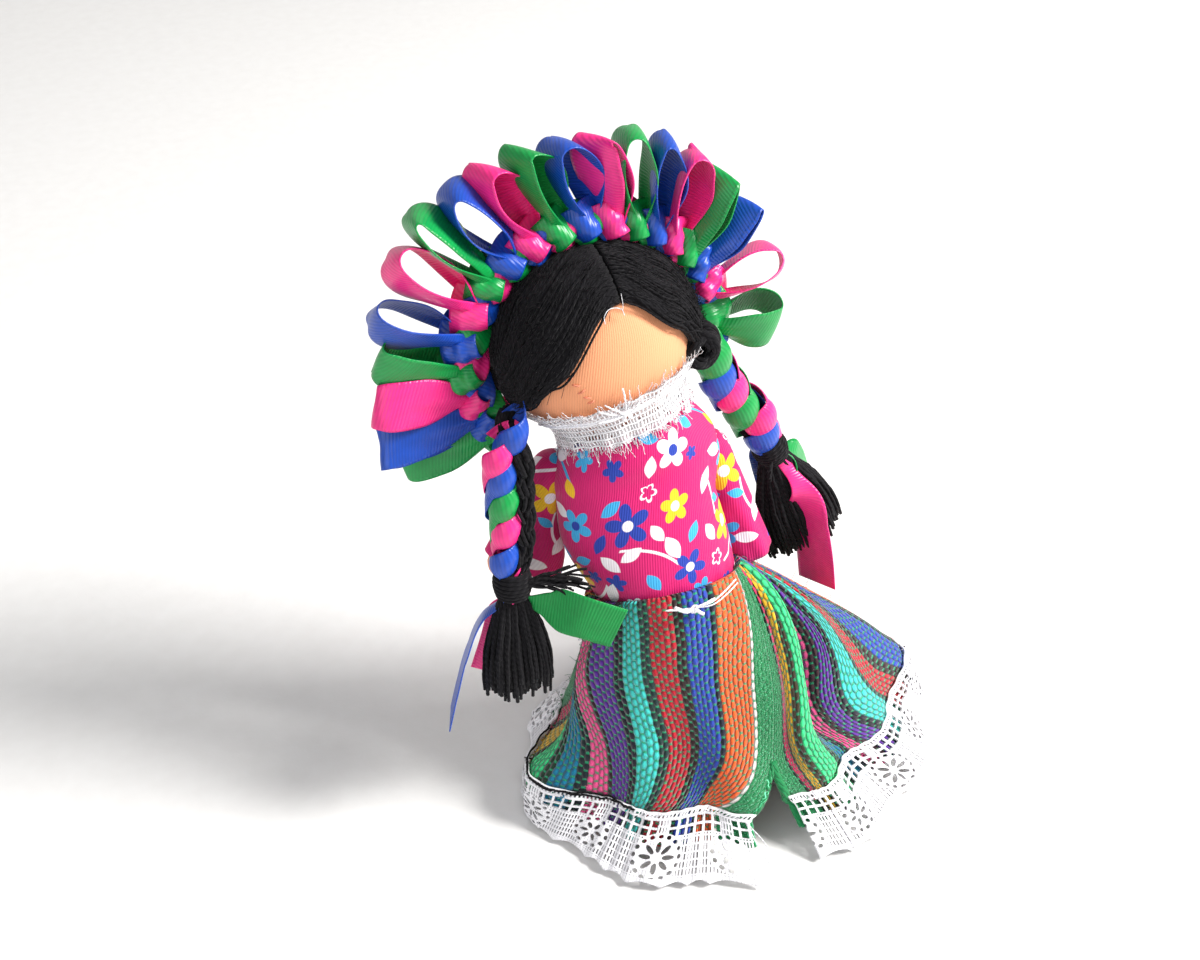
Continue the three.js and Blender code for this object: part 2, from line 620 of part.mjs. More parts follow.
function buildBraid(side) {
  const braid = BRAIDS[side];
  const { down, across, back } = braidFrame(braid);
  const length = braid.tie.distanceTo(braid.top);
  const plaited = length - TIE_HEIGHT / 2 - 2.6;
  const at = (s, x, y) => braid.top.clone().addScaledVector(down, s)
    .addScaledVector(across, x).addScaledVector(back, y);
  STRANDS.forEach(({ colour, across: tiedAcross, back: tiedBack }, strand) => {
    const tail = braid.tails[colour];
    const path = [];
    const section = [];
    const steps = Math.round((plaited / BRAID_PITCH) * BRAID_STEPS_PER_PITCH);
    for (let i = 0; i <= steps; i += 1) {
      const s = (plaited * i) / steps;
      const swing = (2 * Math.PI * (s - plaited)) / BRAID_PITCH + (2 * Math.PI * strand) / 3;
      path.push(at(s, BRAID_SWING * Math.sin(swing), BRAID_DEPTH * Math.sin(2 * swing)));
      section.push({ wide: across, a: BRAID_RIBBON_HALF_WIDTH, b: BRAID_RIBBON_HALF_THICKNESS });
    }
    const hug = across.clone().multiplyScalar(Math.abs(tiedBack)).addScaledVector(back, Math.abs(tiedAcross));
    for (const s of [length - TIE_HEIGHT / 2, length, length + TIE_HEIGHT / 2 + 1]) {
      path.push(at(s, TIED_RIBBON_R * tiedAcross, TIED_RIBBON_R * tiedBack));
      section.push({ wide: hug, a: 1, b: TAIL_HALF_THICKNESS });
    }
    const exit = path[path.length - 1];
    const run = new THREE.CatmullRomCurve3([exit, ...tail.route], false, "centripetal");
    for (let i = 1; i <= TAIL_STEPS; i += 1) {
      const share = i / TAIL_STEPS;
      path.push(run.getPoint(share));
      section.push({
        wide: hug.clone().lerp(tail.wide, smoothstep(share, 0, 0.4)).normalize(),
        a: lerp(1, TAIL_HALF_WIDTH, smoothstep(share, 0.05, 0.6)), b: TAIL_HALF_THICKNESS,
      });
    }
    const wideWay = (i) => section[i].wide;
    const ribbon = sweep(path, wideWay, (i) => section[i].a, (i) => section[i].b, RIBBON_SIDES);
    add(doll, `${side}_braid_ribbon_${colour}`, ribbon, colour, 0.4);
  });
  buildBraidYarn(side, at, across, length);
  const wall = [
    { s: -TIE_HEIGHT / 2, r: TIE_R - TIE_ROUNDING }, { s: -TIE_HEIGHT / 4, r: TIE_R },
    { s: TIE_HEIGHT / 4, r: TIE_R }, { s: TIE_HEIGHT / 2, r: TIE_R - TIE_ROUNDING },
  ];
  const ring = ({ s, r }) => ellipse(at(length + s, 0, 0), across, back, r, r, 16);
  const outer = wall.map(ring);
  const inner = wall.map(({ s }) => ring({ s, r: TIE_R - TIE_WALL }));
  add(doll, `${side}_braid_tie`, loft([...outer, ...inner.reverse()], true), "yarn", 1);
}

// Hair yarn of a braid: a strand down its back, gathered in the tie, and a brush of cut ends below it
function buildBraidYarn(side, at, across, length) {
  const braid = BRAIDS[side];
  const path = [];
  const section = [];
  const neck = length - TIE_HEIGHT / 2 - 2.4;
  braid.root.forEach((point, i) => {
    path.push(point);
    section.push([lerp(1, BRAID_YARN_HALF_WIDTH, (i + 0.2) / braid.root.length), 1]);
  });
  for (let i = 0; i <= 5; i += 1) {
    path.push(at((neck * i) / 5, 0, BRAID_OFFSET));
    section.push([BRAID_YARN_HALF_WIDTH, BRAID_YARN_HALF_DEPTH]);
  }
  const aboveTie = length - TIE_HEIGHT / 2;
  path.push(at(aboveTie - 0.9, 0, BRAID_OFFSET * 0.5), at(aboveTie + 0.4, 0, 0.7));
  section.push([1, 0.9], [TIED_YARN_R - 0.1, 0.9]);
  const bottom = at(length + TIE_HEIGHT / 2 + 0.6, 0, 0.2);
  path.push(at(length, 0, 0.3), bottom);
  section.push([TIED_YARN_R, TIED_YARN_R], [TIED_YARN_R, TIED_YARN_R]);
  const brush = [[0.12, 0.36], [0.3, 0.62], [0.55, 0.84], [0.8, 0.96], [1, 1]];
  for (const [share, swell] of brush) {
    path.push(bottom.clone().lerp(braid.end, share));
    section.push([braid.brushHalfWidth * swell, braid.brushHalfDepth * swell]);
  }
  const yarn = sweep(path, () => across, (i) => section[i][0], (i) => section[i][1], 12);
  add(doll, `${side}_braid_yarn`, yarn, "yarn", 1);
}

// Arms, in the leaning body's frame: where each turns at the shoulder, which way it hangs, and its
// sleeve's half-widths at the cuff with how far the cuff's middle hangs off the arm
const ARMS = {
  right: {
    shoulder: vec(-14.9, 3.4, 31.8), reach: vec(-13.9, 5, -15.9), cuff: { wide: 7.4, thin: 4, off: 2.4 },
  },
  left: {
    shoulder: vec(15.5, 4, 21.5), reach: vec(1.8, -0.6, -20), cuff: { wide: 3.9, thin: 4.6, off: 0 },
  },
};

// Rings of a round limb from a dome at its root to a distance along it
function limbRings(root, along, outline, sides) {
  const across = Y_AXIS.clone().addScaledVector(along, -along.y).normalize();
  const other = along.clone().cross(across);
  return outline.map(([s, r]) => ellipse(root.clone().addScaledVector(along, s), across, other, r, r, sides));
}

function dome(radius, from, steps) {
  return Array.from({ length: steps }, (_, i) => {
    const turn = lerp(Math.asin(from / radius), Math.PI / 2, i / steps);
    return [-radius * Math.cos(turn), radius * Math.sin(turn)];
  });
}

function armOutline(inset) {
  const tip = ARM_LENGTH + HAND_R;
  return [
    ...dome(ARM_R - inset, 1.4, 3),
    [3, ARM_R - inset],
    [SLEEVE_LENGTH - 3, ARM_R - 0.2 - inset],
    [SLEEVE_LENGTH, WRIST_R - inset],
    [ARM_LENGTH - 1.5, HAND_R * 0.95 - inset],
    [ARM_LENGTH + 0.6, HAND_R - inset],
    [tip - 1.4, HAND_R * 0.75 - inset],
    [tip - 0.3 - inset, HAND_R * 0.35 - inset / 2],
  ];
}

function buildArm(side) {
  const arm = ARMS[side];
  const along = arm.reach.clone().normalize();
  const rings = (outline, sides) => limbRings(arm.shoulder, along, outline, sides);
  const skin = (inset) => rings(armOutline(inset), LIMB_SIDES).reverse();
  add(upperBody, `${side}_arm_cover`, coverOpenAtEnd(skin(0), skin(COTTON)), "skin");
  const core = rings(armOutline(COTTON + SEAT_GAP), CORE_SIDES);
  add(upperBody, `${side}_arm_stuffing`, loft(core), "wadding", 1);
  const across = Y_AXIS.clone().addScaledVector(along, -along.y).normalize();
  const inwards = along.clone().cross(across).multiplyScalar(side === "right" ? 1 : -1);
  const sleeve = (inset) => [
    ...rings([...dome(SLEEVE_R - inset, 0.8, 3), [2, SLEEVE_R - inset]], LIMB_SIDES),
    ...[0.4, 0.7, 1].map((share) => {
      const spread = smoothstep(share, 0.1, 1);
      const middle = arm.shoulder.clone().addScaledVector(along, lerp(2, SLEEVE_LENGTH, share))
        .addScaledVector(inwards, arm.cuff.off * spread);
      const thin = lerp(SLEEVE_R, arm.cuff.thin, spread) - inset;
      const wide = lerp(SLEEVE_R, arm.cuff.wide, spread) - inset;
      return ellipse(middle, across, along.clone().cross(across), thin, wide, LIMB_SIDES);
    }),
  ];
  add(upperBody, `${side}_sleeve`, coverOpenAtEnd(sleeve(0), sleeve(COTTON)), "blouse");
}

// Legs: each hangs from the underside of the body and stands on a flat sole
function hipCentre(side) {
  const sign = side === "left" ? 1 : -1;
  const middle = TORSO_SHAPE[0].x;
  return upperBody.localToWorld(vec(middle + (sign * HIP_SPACING) / 2, 0, TORSO_BOTTOM - SEAT_GAP - LEG_R));
}

function legRings(side, inset, sides) {
  const hip = hipCentre(side);
  const heel = FOOT_BACK + ANKLE_R - FOOT_HALF_LENGTH;
  const shin = (ANKLE_R + LEG_R) / 2;
  const rows = [
    [inset, FOOT_HALF_WIDTH - SOLE_ROUNDING, FOOT_HALF_LENGTH - SOLE_ROUNDING, heel],
    [inset + 0.9, FOOT_HALF_WIDTH, FOOT_HALF_LENGTH, heel],
    [FOOT_HEIGHT * 0.6, FOOT_HALF_WIDTH, FOOT_HALF_LENGTH - SOLE_ROUNDING / 2, heel],
    [FOOT_HEIGHT, ANKLE_R, ANKLE_R + SOLE_ROUNDING, FOOT_BACK - SOLE_ROUNDING],
    [FOOT_HEIGHT + 2.4, ANKLE_R, ANKLE_R, FOOT_BACK],
    [hip.z * 0.6, shin, shin, FOOT_BACK * 0.4],
    [hip.z, LEG_R, LEG_R, 0],
  ];
  const rings = rows.map(([z, a, b, y]) => level(z, a - inset, b - inset, sides, hip.x, hip.y + y));
  for (const [s, r] of dome(LEG_R - inset, 2.2, 3).reverse()) {
    rings.push(level(hip.z - s, r, r, sides, hip.x, hip.y));
  }
  return rings;
}

function buildLeg(side) {
  const cover = coverOpenAtEnd(legRings(side, 0, LIMB_SIDES), legRings(side, COTTON, LIMB_SIDES));
  add(doll, `${side}_leg_cover`, cover, "skin");
  add(doll, `${side}_leg_stuffing`, loft(legRings(side, COTTON + SEAT_GAP, CORE_SIDES)), "wadding", 1);
}

// Skirt: distance out from the axis at an angle, for a rounded diamond of given half-widths
function roundedDiamond(angle, a, b, squareness) {
  const across = Math.sqrt(Math.cos(angle) ** 2 + 0.012) / a;
  const along = Math.sqrt(Math.sin(angle) ** 2 + 0.012) / b;
  return 1 / (across ** squareness + along ** squareness) ** (1 / squareness);
}

// The skirt's gathered top, close round the blouse and level from side to side
function waistPoint(angle) {
  const gap = COTTON + 2 * SEAT_GAP + HANDWOVEN / 2;
  const flat = vec(TORSO_HALF_WIDTH * Math.cos(angle), TORSO_HALF_DEPTH * Math.sin(angle), 0);
  const z = WAISTBAND.rise + WAISTBAND.acrossSlope * flat.x + WAISTBAND.depthSlope * flat.y;
  const { share, x } = torsoAt(z);
  return upperBody.localToWorld(vec(
    x + (TORSO_HALF_WIDTH * share + gap) * Math.cos(angle),
    (TORSO_HALF_DEPTH * share + gap) * Math.sin(angle),
    z,
  ));
}

// The skirt's middle surface: v runs from 0 at the waist through 1 where the lace starts to 2 on the floor
function skirtRaw(angle, v) {
  const waist = waistPoint(angle);
  const fold = SKIRT_FOLD_DEPTH * Math.sin(SKIRT_FOLDS * angle + 0.6) * smoothstep(v, 0, 0.9);
  const turned = angle - rad(SKIRT_TURN);
  const hemR = roundedDiamond(turned, SKIRT_HALF_WIDTH, SKIRT_HALF_DEPTH, SKIRT_SQUARENESS) + fold;
  const hem = vec(hemR * Math.cos(angle), hemR * Math.sin(angle), SKIRT_HEIGHT);
  const spread = angle - rad(LACE_TURN);
  const floorR = roundedDiamond(spread, LACE_HALF_WIDTH, LACE_HALF_DEPTH, 2) + fold * 0.8;
  const floor = vec(LACE_SHIFT + floorR * Math.cos(angle), floorR * Math.sin(angle), LACE * 0.6);
  if (v > 1) return hem.lerp(floor, v - 1);
  const out = v + (SKIRT_SWELL.middle + SKIRT_SWELL.side * Math.cos(angle)) * Math.sin(Math.PI * v);
  const place = waist.clone().lerp(hem, out);
  place.z = lerp(waist.z, hem.z, v);
  return place;
}

function skirtMiddle(angle, v) {
  const ease = 0.08;
  const before = skirtRaw(angle, Math.max(v - ease, 0));
  const after = skirtRaw(angle, Math.min(v + ease, 2));
  if (v < ease || v > 2 - ease) return skirtRaw(angle, v);
  return skirtRaw(angle, v).multiplyScalar(2).add(before).add(after).multiplyScalar(0.25);
}

function skirtAt(angle, v, proud) {
  const step = 0.02;
  const low = Math.min(v, 2 - step);
  const place = skirtMiddle(angle, v);
  const round = skirtMiddle(angle + step, v).sub(skirtMiddle(angle - step, v));
  const down = skirtMiddle(angle, low + step).sub(skirtMiddle(angle, Math.max(low - step, 0)));
  const normal = down.cross(round).normalize();
  return place.addScaledVector(normal, proud);
}

const slitAngle = (v) => rad(SLIT_HALF_ANGLE * smoothstep(v, SLIT_TOP, SLIT_TOP + 0.3));

// Rows of the skirt or lace from one level to another, split at the front below the slit's top
function skirtSheet(levels, columns, from, to, closedRows) {
  const at = (proud) => (i, j) => {
    const v = levels[i];
    const gap = slitAngle(v);
    const angle = rad(SLIT_FRONT) + lerp(gap, 2 * Math.PI - gap, j / columns);
    const place = skirtAt(angle, v, proud);
    if (v === 2) place.z = 0;
    return place;
  };
  return patch(levels.length - 1, columns, at(to), at(from), closedRows);
}

function buildSkirt() {
  const hem = 1 + LACE_OVERLAP / LACE_WIDTH;
  const shared = [1, 1.12, 1.26, hem];
  const levels = [0, 0.16, 0.36, 0.58, SLIT_TOP, 0.92, ...shared];
  const cloth = skirtSheet(levels, SKIRT_COLUMNS, -HANDWOVEN / 2, HANDWOVEN / 2, levels.indexOf(SLIT_TOP));
  add(doll, "skirt", cloth, "skirt");
  const laceIn = HANDWOVEN / 2 + SEAT_GAP;
  const lace = skirtSheet([...shared, 1.7, 2], SKIRT_COLUMNS, laceIn, laceIn + LACE, -1);
  add(doll, "hem_lace", lace, "lace");
  const proud = HANDWOVEN / 2 + SEAT_GAP + THREAD_R;
  const around = Array.from({ length: WAIST_COLUMNS }, (_, i) => {
    return skirtAt((2 * Math.PI * i) / WAIST_COLUMNS, STRING_LEVEL, proud);
  });
  const knot = around[Math.round(WAIST_COLUMNS * 0.75)];
  const ends = [
    [knot, knot.clone().add(vec(2, -2, 0.2)), knot.clone().add(vec(6, -3.4, -2.4))],
    [knot, knot.clone().add(vec(3, -1, 1)), knot.clone().add(vec(9, -0.6, -0.6))],
  ];
  add(doll, "waist_string", cord(around, ends), "thread");
}

buildTorso();
buildNeck();
buildHead();
add(headGroup, "hair_right", hairPanel(-1), "yarn", 1);
add(headGroup, "hair_left", hairPanel(1), "yarn", 1);
buildPartingThread();
buildHeaddress();
buildBraid("right");
buildBraid("left");
buildArm("right");
buildArm("left");
buildLeg("right");
buildLeg("left");
buildSkirt();

// The finished doll stands on its floor with the middle of its box over the origin
const box = new THREE.Box3().setFromObject(doll, true);
const middle = box.getCenter(vec(0, 0, 0));
doll.position.set(-middle.x, -middle.y, -box.min.z);

export default doll;
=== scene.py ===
import json
import math

import bmesh
import bpy
import numpy as np
from bpy.props import FloatProperty, FloatVectorProperty, PointerProperty
from mathutils import Matrix


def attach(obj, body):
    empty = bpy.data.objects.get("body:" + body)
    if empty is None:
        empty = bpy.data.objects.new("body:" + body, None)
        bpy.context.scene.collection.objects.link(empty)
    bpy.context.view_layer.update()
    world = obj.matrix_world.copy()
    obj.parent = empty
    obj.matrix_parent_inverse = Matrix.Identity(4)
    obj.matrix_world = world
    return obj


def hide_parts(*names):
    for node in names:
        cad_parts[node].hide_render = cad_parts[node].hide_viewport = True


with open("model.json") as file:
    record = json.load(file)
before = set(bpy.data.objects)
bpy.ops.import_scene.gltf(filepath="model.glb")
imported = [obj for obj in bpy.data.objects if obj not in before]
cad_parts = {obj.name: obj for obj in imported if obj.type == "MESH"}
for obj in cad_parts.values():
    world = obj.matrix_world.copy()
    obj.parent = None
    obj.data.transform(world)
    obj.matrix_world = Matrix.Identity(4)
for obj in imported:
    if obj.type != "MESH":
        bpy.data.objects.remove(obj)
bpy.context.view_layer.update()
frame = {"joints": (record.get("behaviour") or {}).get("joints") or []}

bl_info = {
    "name": "Rag doll",
    "version": (1, 0, 0),
    "blender": (4, 5, 0),
    "location": "3D View > Sidebar > Rag doll",
    "description": "Builds a small faceless cloth doll with a ribbon headdress around its CAD frame",
    "category": "Add Mesh",
}

MM = 1000.0
CLOTH = "Cloth"


# Panel values: lengths are shown in the scene's units, colours as they are seen on a screen


def length(name, millimetres, words):
    """A length in the panel"""
    value = millimetres / MM
    return FloatProperty(name=name, description=words, default=value, min=0, unit="LENGTH", precision=5)


def place(name, point, words):
    """A point in the panel, given in millimetres"""
    kind = {"unit": "LENGTH", "subtype": "TRANSLATION", "precision": 5}
    return FloatVectorProperty(name=name, description=words, default=[c / MM for c in point], **kind)


def angle(name, degrees, words):
    """An angle in the panel"""
    value = math.radians(degrees)
    return FloatProperty(name=name, description=words, default=value, unit="ROTATION", subtype="ANGLE")


def linear(red, green, blue):
    """Colour values of 0 to 255, as seen on a screen, turned into linear light"""
    seen = [c / 255 for c in (red, green, blue)]
    return [c / 12.92 if c <= 0.04045 else ((c + 0.055) / 1.055) ** 2.4 for c in seen]


def colour(name, red, green, blue, words):
    """A colour in the panel"""
    value = linear(red, green, blue)
    return FloatVectorProperty(name=name, description=words, default=value, subtype="COLOR", min=0, max=1)


class DollStance(bpy.types.PropertyGroup):
    """How the doll leans over its skirt"""

    waist: place("Waist", (-9, 4, 44), "Middle of the waist, before the doll is set over its origin")
    lean_back: angle("Lean back", -14.5, "Lean of the body backwards")
    lean_right: angle("Lean right", -14, "Lean of the body to the doll's right")
    head_pitch: angle("Head pitch", -4, "Backward tilt of the head")
    head_roll: angle("Head roll", -8, "Sideways tilt of the head")
    neck_height: length("Neck height", 32, "From the waist up the body to the foot of the neck")
    head_height: length("Head height", 52, "From the waist up the body to the middle of the head")


class DollBody(bpy.types.PropertyGroup):
    """Stuffed body, head and limbs"""

    torso_half_width: length("Torso half width", 13.2, "Half of the stuffed body's width")
    torso_half_depth: length("Torso half depth", 11.2, "Half of the stuffed body's depth")
    neck_radius: length("Neck radius", 9, "Radius of the stuffed neck")
    head_half_width: length("Head half width", 17, "Half of the head's width")
    head_half_depth: length("Head half depth", 15, "Half of the head's depth")
    head_half_height: length("Head half height", 17.2, "From the middle of the head to its crown")
    neck_drop: length("Neck drop", 13.5, "From the middle of the head down to its neck opening")
    arm_length: length("Arm length", 22, "From the shoulder to the wrist")
    arm_radius: length("Arm radius", 3, "Radius of the stuffed arm")
    hand_radius: length("Hand radius", 3.2, "Radius of the round hand")
    leg_radius: length("Leg radius", 5.2, "Radius of the stuffed leg at the hip")
    ankle_radius: length("Ankle radius", 4, "Radius of the leg above the foot")
    hip_spacing: length("Hip spacing", 11.4, "Distance between the legs")
    cotton: length("Cotton", 0.5, "Thickness of the cotton cloth")
    gap: length("Seat gap", 0.3, "Clearance between one layer and the next")


class DollHair(bpy.types.PropertyGroup):
    """Yarn hair, headdress and hanging braids"""

    hair_thickness: length("Hair thickness", 1.5, "Thickness of the yarn laid over the head")
    parting_x: length("Parting", 2.3, "How far the parting lies from the middle, towards the left")
    crown_half_width: length("Crown half width", 22.8, "Half width of the plaited band round the head")
    crown_half_height: length("Crown half height", 22.2, "Height of the plaited band over the head's middle")
    plait_swing: length("Plait swing", 1.7, "How far each ribbon swings in the headdress plait")
    plait_depth: length("Plait depth", 1.2, "How far each ribbon passes over and under")
    plait_ribbon: length("Plait ribbon", 6.4, "Width of the ribbon in the headdress plait")
    loop_ribbon: length("Loop ribbon", 8.6, "Width of the ribbon spread out in a loop")
    ribbon_thickness: length("Ribbon thickness", 0.22, "Thickness of the satin ribbon")
    tail_ribbon: length("Tail ribbon", 8.8, "Width of the loose ribbon ends")
    tie_radius: length("Tie radius", 3.5, "Radius of the yarn wound round a braid's end")


class DollClothes(bpy.types.PropertyGroup):
    """Blouse, collar, skirt and lace"""

    skirt_half_width: length("Skirt half width", 44.5, "Half width of the hem")
    skirt_half_depth: length("Skirt half depth", 27.5, "Half depth of the hem")
    skirt_height: length("Hem height", 9, "Height at which the lace starts")
    lace_half_width: length("Lace half width", 44.5, "Half width of the lace on the floor")
    lace_half_depth: length("Lace half depth", 35.5, "Half depth of the lace on the floor")
    lace_width: length("Lace width", 18, "Width of the lace edging")
    handwoven: length("Skirt cloth", 1.1, "Thickness of the handwoven cloth")
    lace: length("Lace thickness", 0.4, "Thickness of the lace")
    thread_radius: length("Thread radius", 0.45, "Radius of the white string")


class DollColours(bpy.types.PropertyGroup):
    """Colours of the cloth, yarn and ribbon"""

    skin: colour("Skin cotton", 228, 154, 112, "Plain cotton of the head and limbs")
    yarn: colour("Hair yarn", 14, 13, 16, "Black yarn")
    green: colour("Green ribbon", 4, 138, 62, "Green satin")
    blue: colour("Blue ribbon", 14, 66, 164, "Blue satin")
    pink: colour("Pink ribbon", 228, 38, 124, "Pink satin")
    blouse: colour("Blouse", 206, 22, 106, "Ground of the printed cotton")
    print_blue: colour("Print blue", 34, 62, 164, "Blue flowers of the print")
    print_sky: colour("Print sky", 62, 172, 226, "Light blue leaves of the print")
    print_yellow: colour("Print yellow", 246, 196, 34, "Yellow flowers of the print")
    print_white: colour("Print white", 250, 244, 248, "White leaves and flowers of the print")
    white: colour("White thread", 244, 243, 247, "Lace, string and thread")
    weft: colour("Weft", 18, 136, 92, "Green weft that shows between the warp yarns")


GROUPS = (
    ("doll_stance", DollStance),
    ("doll_body", DollBody),
    ("doll_hair", DollHair),
    ("doll_clothes", DollClothes),
    ("doll_colours", DollColours),
)


# Places

VIEW_TURN = -20.0
VIEW_RISE = 38.0
ROUND = 64
FULL_TURN = 2 * np.pi


def view_axes():
    """Directions to the right of the picture, up it, and from the doll to the viewer"""
    turn, rise = math.radians(VIEW_TURN), math.radians(VIEW_RISE)
    back = np.array([math.sin(turn) * math.cos(rise), -math.cos(turn) * math.cos(rise), math.sin(rise)])
    right = unit(np.cross(-back, [0, 0, 1.0]))
    return right, np.cross(right, -back), back


def turn_x(a):
    """Turn about the x axis"""
    return np.array([[1, 0, 0], [0, math.cos(a), -math.sin(a)], [0, math.sin(a), math.cos(a)]])


def turn_y(a):
    """Turn about the y axis"""
    return np.array([[math.cos(a), 0, math.sin(a)], [0, 1, 0], [-math.sin(a), 0, math.cos(a)]])


def unit(v):
    """Vectors of length one, along the last axis"""
    v = np.asarray(v, float)
    return v / np.maximum(np.linalg.norm(v, axis=-1, keepdims=True), 1e-9)


def mix(a, b, t):
    """a where t is 0 and b where it is 1"""
    return a + (b - a) * t


def bell(x, middle, width):
    """Bell curve: exp(-((x - middle) / width)^2)"""
    return np.exp(-(((x - middle) / width) ** 2))


def distances(points):
    """Distance along a line, or along each column of a grid, up to each of its points"""
    steps = np.linalg.norm(np.diff(points, axis=0), axis=-1)
    return np.concatenate([np.zeros_like(steps[:1]), np.cumsum(steps, axis=0)])


def ring_turns(count):
    """Angles of count even steps round a circle"""
    return FULL_TURN * np.arange(count) / count


def outward(turn, rise=0):
    """Direction away from the upright axis at an angle"""
    return np.stack(np.broadcast_arrays(np.cos(turn), np.sin(turn), 0 * rise), -1)


def smooth(x, low, high):
    """0 up to low, 1 from high on, and 3t^2 - 2t^3 between them"""
    t = np.clip((np.asarray(x, float) - low) / (high - low), 0, 1)
    return t * t * (3 - 2 * t)


def through(points, count=None, at=None, knots=None):
    """Smooth curve through points: a cubic between each two, with slopes taken from their neighbours,
    at count even steps of chord length, or at the given places on the given knots"""
    p = np.asarray(points, float)
    p = p if p.ndim > 1 else p[:, None]
    s = distances(p) if knots is None else np.asarray(knots, float)
    slope = np.gradient(p, s, axis=0)
    t = np.linspace(s[0], s[-1], count) if at is None else np.asarray(at, float)
    k = np.clip(np.searchsorted(s, t, side="right") - 1, 0, len(s) - 2)
    h = (s[k + 1] - s[k])[:, None]
    x = (np.clip(t, s[0], s[-1]) - s[k])[:, None] / h
    curve = (2 * x**3 - 3 * x**2 + 1) * p[k] + (x**3 - 2 * x**2 + x) * h * slope[k]
    curve = curve + (3 * x**2 - 2 * x**3) * p[k + 1] + (x**3 - x**2) * h * slope[k + 1]
    beyond = (t - np.clip(t, s[0], s[-1]))[:, None]
    return curve + beyond * np.where(beyond < 0, slope[0], slope[-1])


def waver(points, wavelength, seed, size=1.0):
    """Gentle random offset: in each of three directions, a sum of five sine waves across the points"""
    rng = np.random.default_rng(seed)
    p = np.asarray(points, float)
    out = np.zeros_like(p)
    for axis in range(3):
        for _ in range(5):
            wave = unit(rng.normal(size=3)) * 2 * np.pi / (wavelength * rng.uniform(0.7, 1.6))
            out[..., axis] += np.sin(p @ wave + rng.uniform(0, 2 * np.pi))
    return out * size / 3


class Figure:
    """The doll's settings and frames, in millimetres. row() sets points over the packed model's origin."""

    def __init__(self, scene):
        self.scene = scene
        self.stance = scene.doll_stance
        self.body = scene.doll_body
        self.hair = scene.doll_hair
        self.clothes = scene.doll_clothes
        self.waist = np.array(self.stance.waist) * MM
        self.lean = turn_x(self.stance.lean_back) @ turn_y(self.stance.lean_right)
        self.tilt = turn_x(self.stance.head_pitch) @ turn_y(self.stance.head_roll)
        self.neck_z = self.stance.neck_height * MM
        self.head_middle = self.on_body([0, 0, self.stance.head_height * MM])
        neck = next(j for j in frame["joints"] if j["name"] == "neck_tilt")
        self.shift = np.array(neck["pos_m"]) * MM - self.on_body([0, 0, self.neck_z])

    def on_body(self, points):
        """Places given along the leaning body, from the waist"""
        return self.waist + np.asarray(points, float) @ self.lean.T

    def on_head(self, points):
        """Places given along the tilted head, from its middle"""
        return self.head_middle + np.asarray(points, float) @ self.tilt.T

    def head_to_body(self, points):
        """Places on the head, given along the body"""
        return (self.on_head(points) - self.waist) @ self.lean

    def row(self, points):
        """Places over the packed model's origin, in metres"""
        return (np.asarray(points, float) + self.shift) / MM


# Meshes: a direction that no yarn runs along, the shift of one strand's mark against the next, and how near
# to each other points of a mesh are merged, in metres

ODD_WAY = np.array([0.31, 0.62, 0.72])
YARN_SHIFT = 7.3
MERGE = 2e-7


def pair(u, v):
    """Cloth coordinates from those across and those down"""
    return np.stack(np.broadcast_arrays(u, v), -1)


